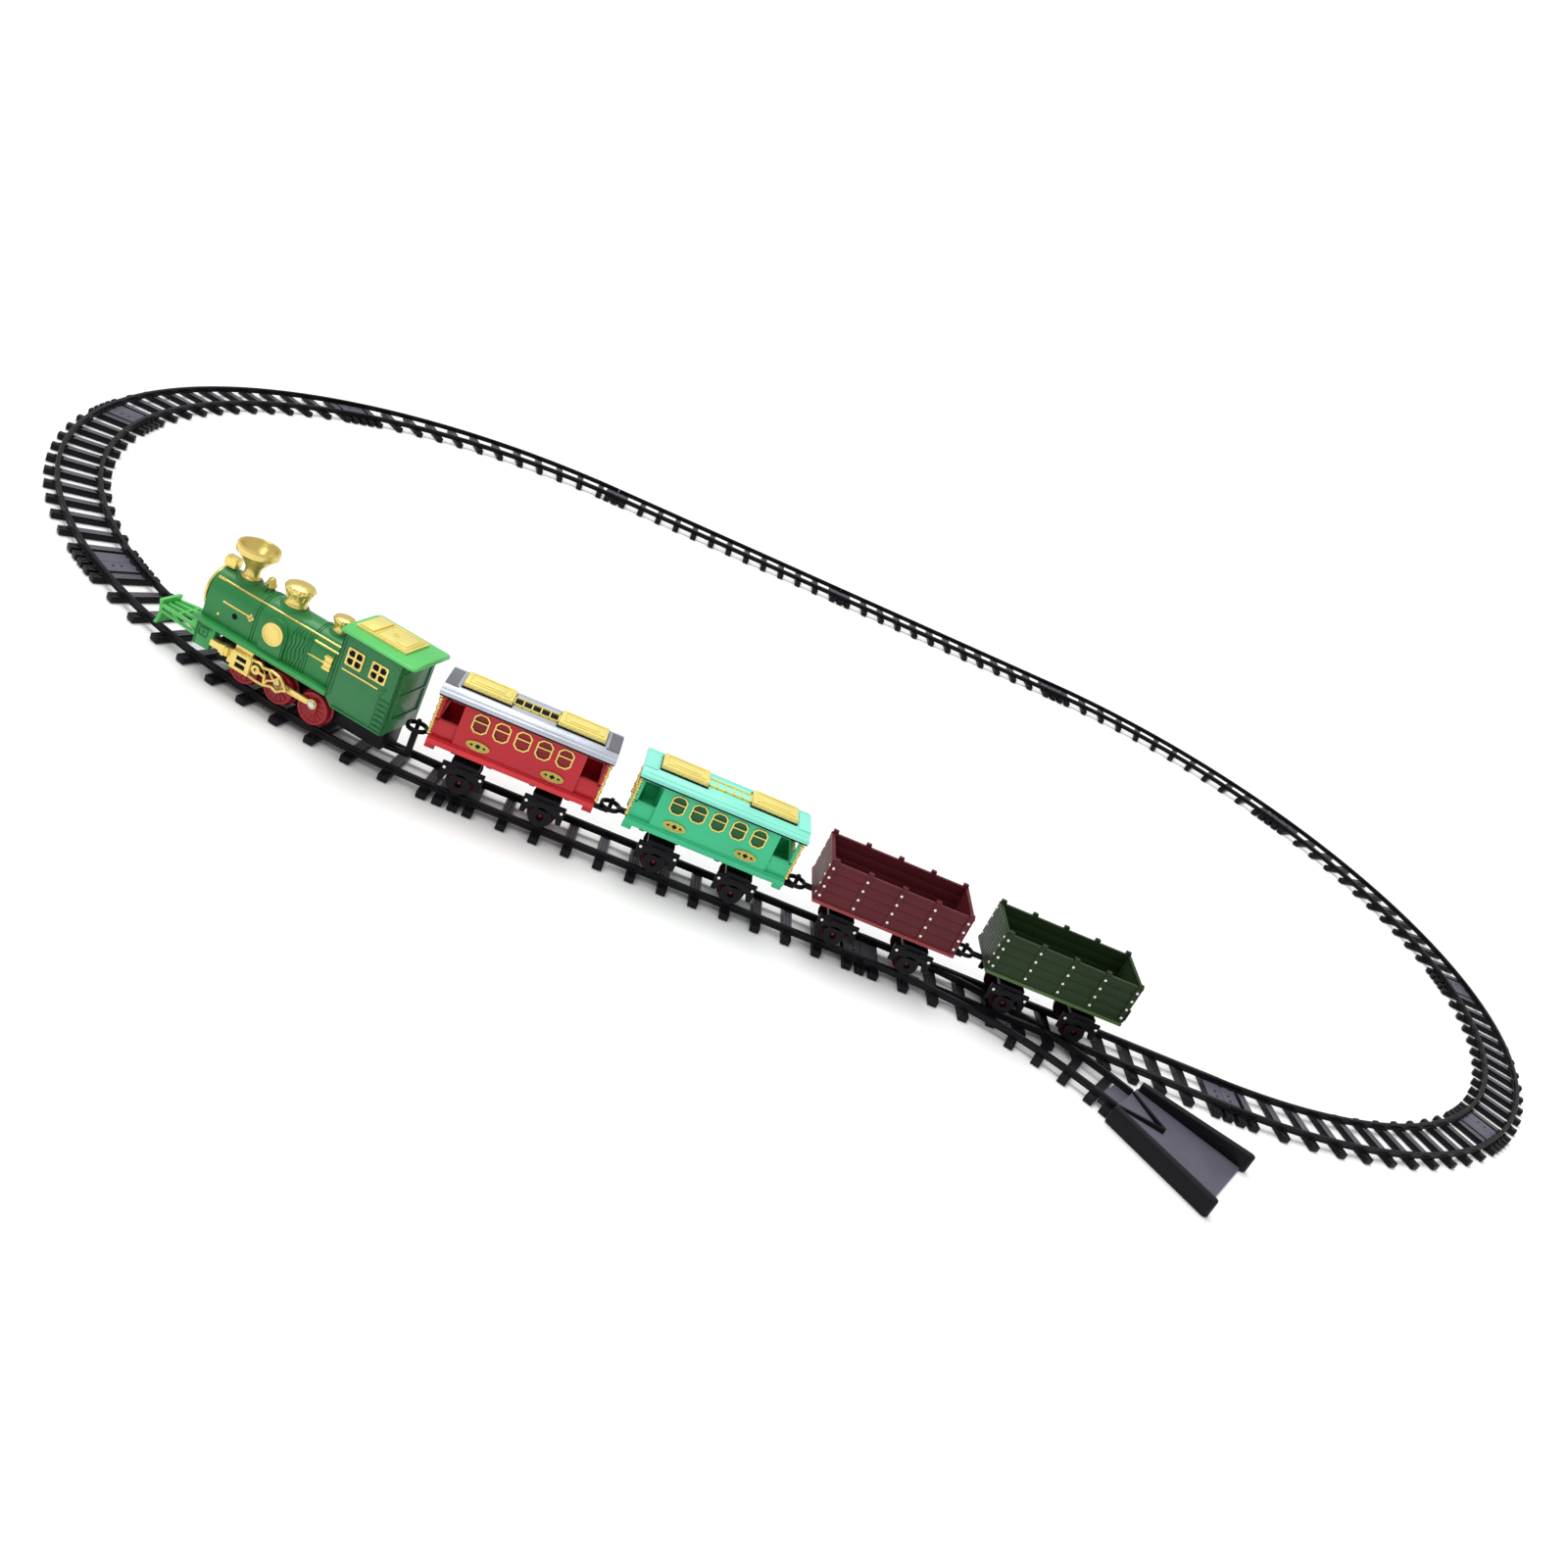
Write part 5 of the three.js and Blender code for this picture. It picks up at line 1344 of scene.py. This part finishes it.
def build_stage():
    """Matt white floor just under the track."""
    corners = [(x * FLOOR_HALF, y * FLOOR_HALF, FLOOR_DROP)
               for x, y in ((-1, -1), (1, -1), (1, 1), (-1, 1))]
    mesh = bpy.data.meshes.new("studio_floor")
    mesh.from_pydata(corners, [], [(0, 1, 2, 3)])
    floor = bpy.data.objects.new("studio_floor", mesh)
    link(floor)
    material = plastic("floor_white", (0.93, 0.93, 0.93, 1), 0.8, 0.005, 0.02, 0.01, wear=0.0)
    mesh.materials.append(material)


def area_light(name, place, target, power, size):
    """Square panel at one place, turned to face another."""
    light = bpy.data.lights.new(name, "AREA")
    light.energy = power
    light.size = size
    obj = bpy.data.objects.new(name, light)
    obj.location = place
    direction = Vector(target) - Vector(place)
    obj.rotation_euler = direction.to_track_quat("-Z", "Y").to_euler()
    link(obj)


def build_light():
    """Soft white surroundings, one broad overhead sun and a weak panel for highlights."""
    world = bpy.data.worlds.new("studio")
    world.use_nodes = True
    nodes = world.node_tree.nodes
    links = world.node_tree.links
    soft = nodes["Background"]
    soft.inputs["Color"].default_value = (1, 1, 1, 1)
    soft.inputs["Strength"].default_value = LIGHT_GIVEN
    seen = nodes.new("ShaderNodeBackground")
    seen.inputs["Color"].default_value = (1, 1, 1, 1)
    seen.inputs["Strength"].default_value = LIGHT_SEEN
    path = nodes.new("ShaderNodeLightPath")
    mix = nodes.new("ShaderNodeMixShader")
    links.new(path.outputs["Is Camera Ray"], mix.inputs["Fac"])
    links.new(soft.outputs["Background"], mix.inputs[1])
    links.new(seen.outputs["Background"], mix.inputs[2])
    links.new(mix.outputs["Shader"], nodes["World Output"].inputs["Surface"])
    bpy.context.scene.world = world
    sun = bpy.data.lights.new("overhead", "SUN")
    sun.energy = SUN_STRENGTH
    sun.angle = math.radians(SUN_SPREAD)
    lamp = bpy.data.objects.new("overhead", sun)
    lamp.rotation_euler = Vector((0.15, -0.2, -0.97)).to_track_quat("-Z", "Y").to_euler()
    link(lamp)
    area_light("highlight", (-0.9, -1.1, 1.5), (-0.1, -0.2, 0), 6, 0.9)
    bpy.context.scene.view_settings.view_transform = "Standard"


def build_camera():
    """A low camera in front of the near straight, rolled to the left."""
    azimuth, elevation, roll = math.radians(-10.079), math.radians(23.226), math.radians(26.797)
    target = Vector((-48.52, -150.76 + curve_centre.y / MM, RAIL_TOP)) * MM
    back = Vector((math.sin(azimuth) * math.cos(elevation),
                   -math.cos(azimuth) * math.cos(elevation), math.sin(elevation)))
    forward = -back
    right = forward.cross(Vector((0, 0, 1))).normalized()
    up = right.cross(forward)
    x_axis = right * math.cos(roll) + up * math.sin(roll)
    y_axis = -right * math.sin(roll) + up * math.cos(roll)
    matrix = Matrix.Identity(4)
    for row in range(3):
        matrix[row][0] = x_axis[row]
        matrix[row][1] = y_axis[row]
        matrix[row][2] = back[row]
        matrix[row][3] = target[row] + back[row] * CAMERA_DISTANCE * MM
    data = bpy.data.cameras.new("camera")
    data.sensor_width = SENSOR_WIDTH
    data.lens = FOCAL_LENGTH / PHOTO_WIDTH * SENSOR_WIDTH
    data.clip_start = 0.01
    data.clip_end = 50
    camera = bpy.data.objects.new("camera", data)
    camera.matrix_world = matrix
    link(camera)
    bpy.context.scene.camera = camera


build_camera()
build_light()
build_stage()
turnout_place = build_track()
build_ramp(turnout_place)
build_coach("red", RED, RED_EDGE, RED_PANE, SILVER, DARK)
build_coach("teal", TEAL, TEAL, TEAL_PANE, AQUA, AQUA)
build_gondola("maroon", MAROON, MAROON_EDGE)
build_gondola("green", OLIVE, OLIVE_EDGE)
for wagon in ("red", "teal", "maroon", "green"):
    build_running_gear(wagon, "front")
    build_running_gear(wagon, "rear")
build_loco()
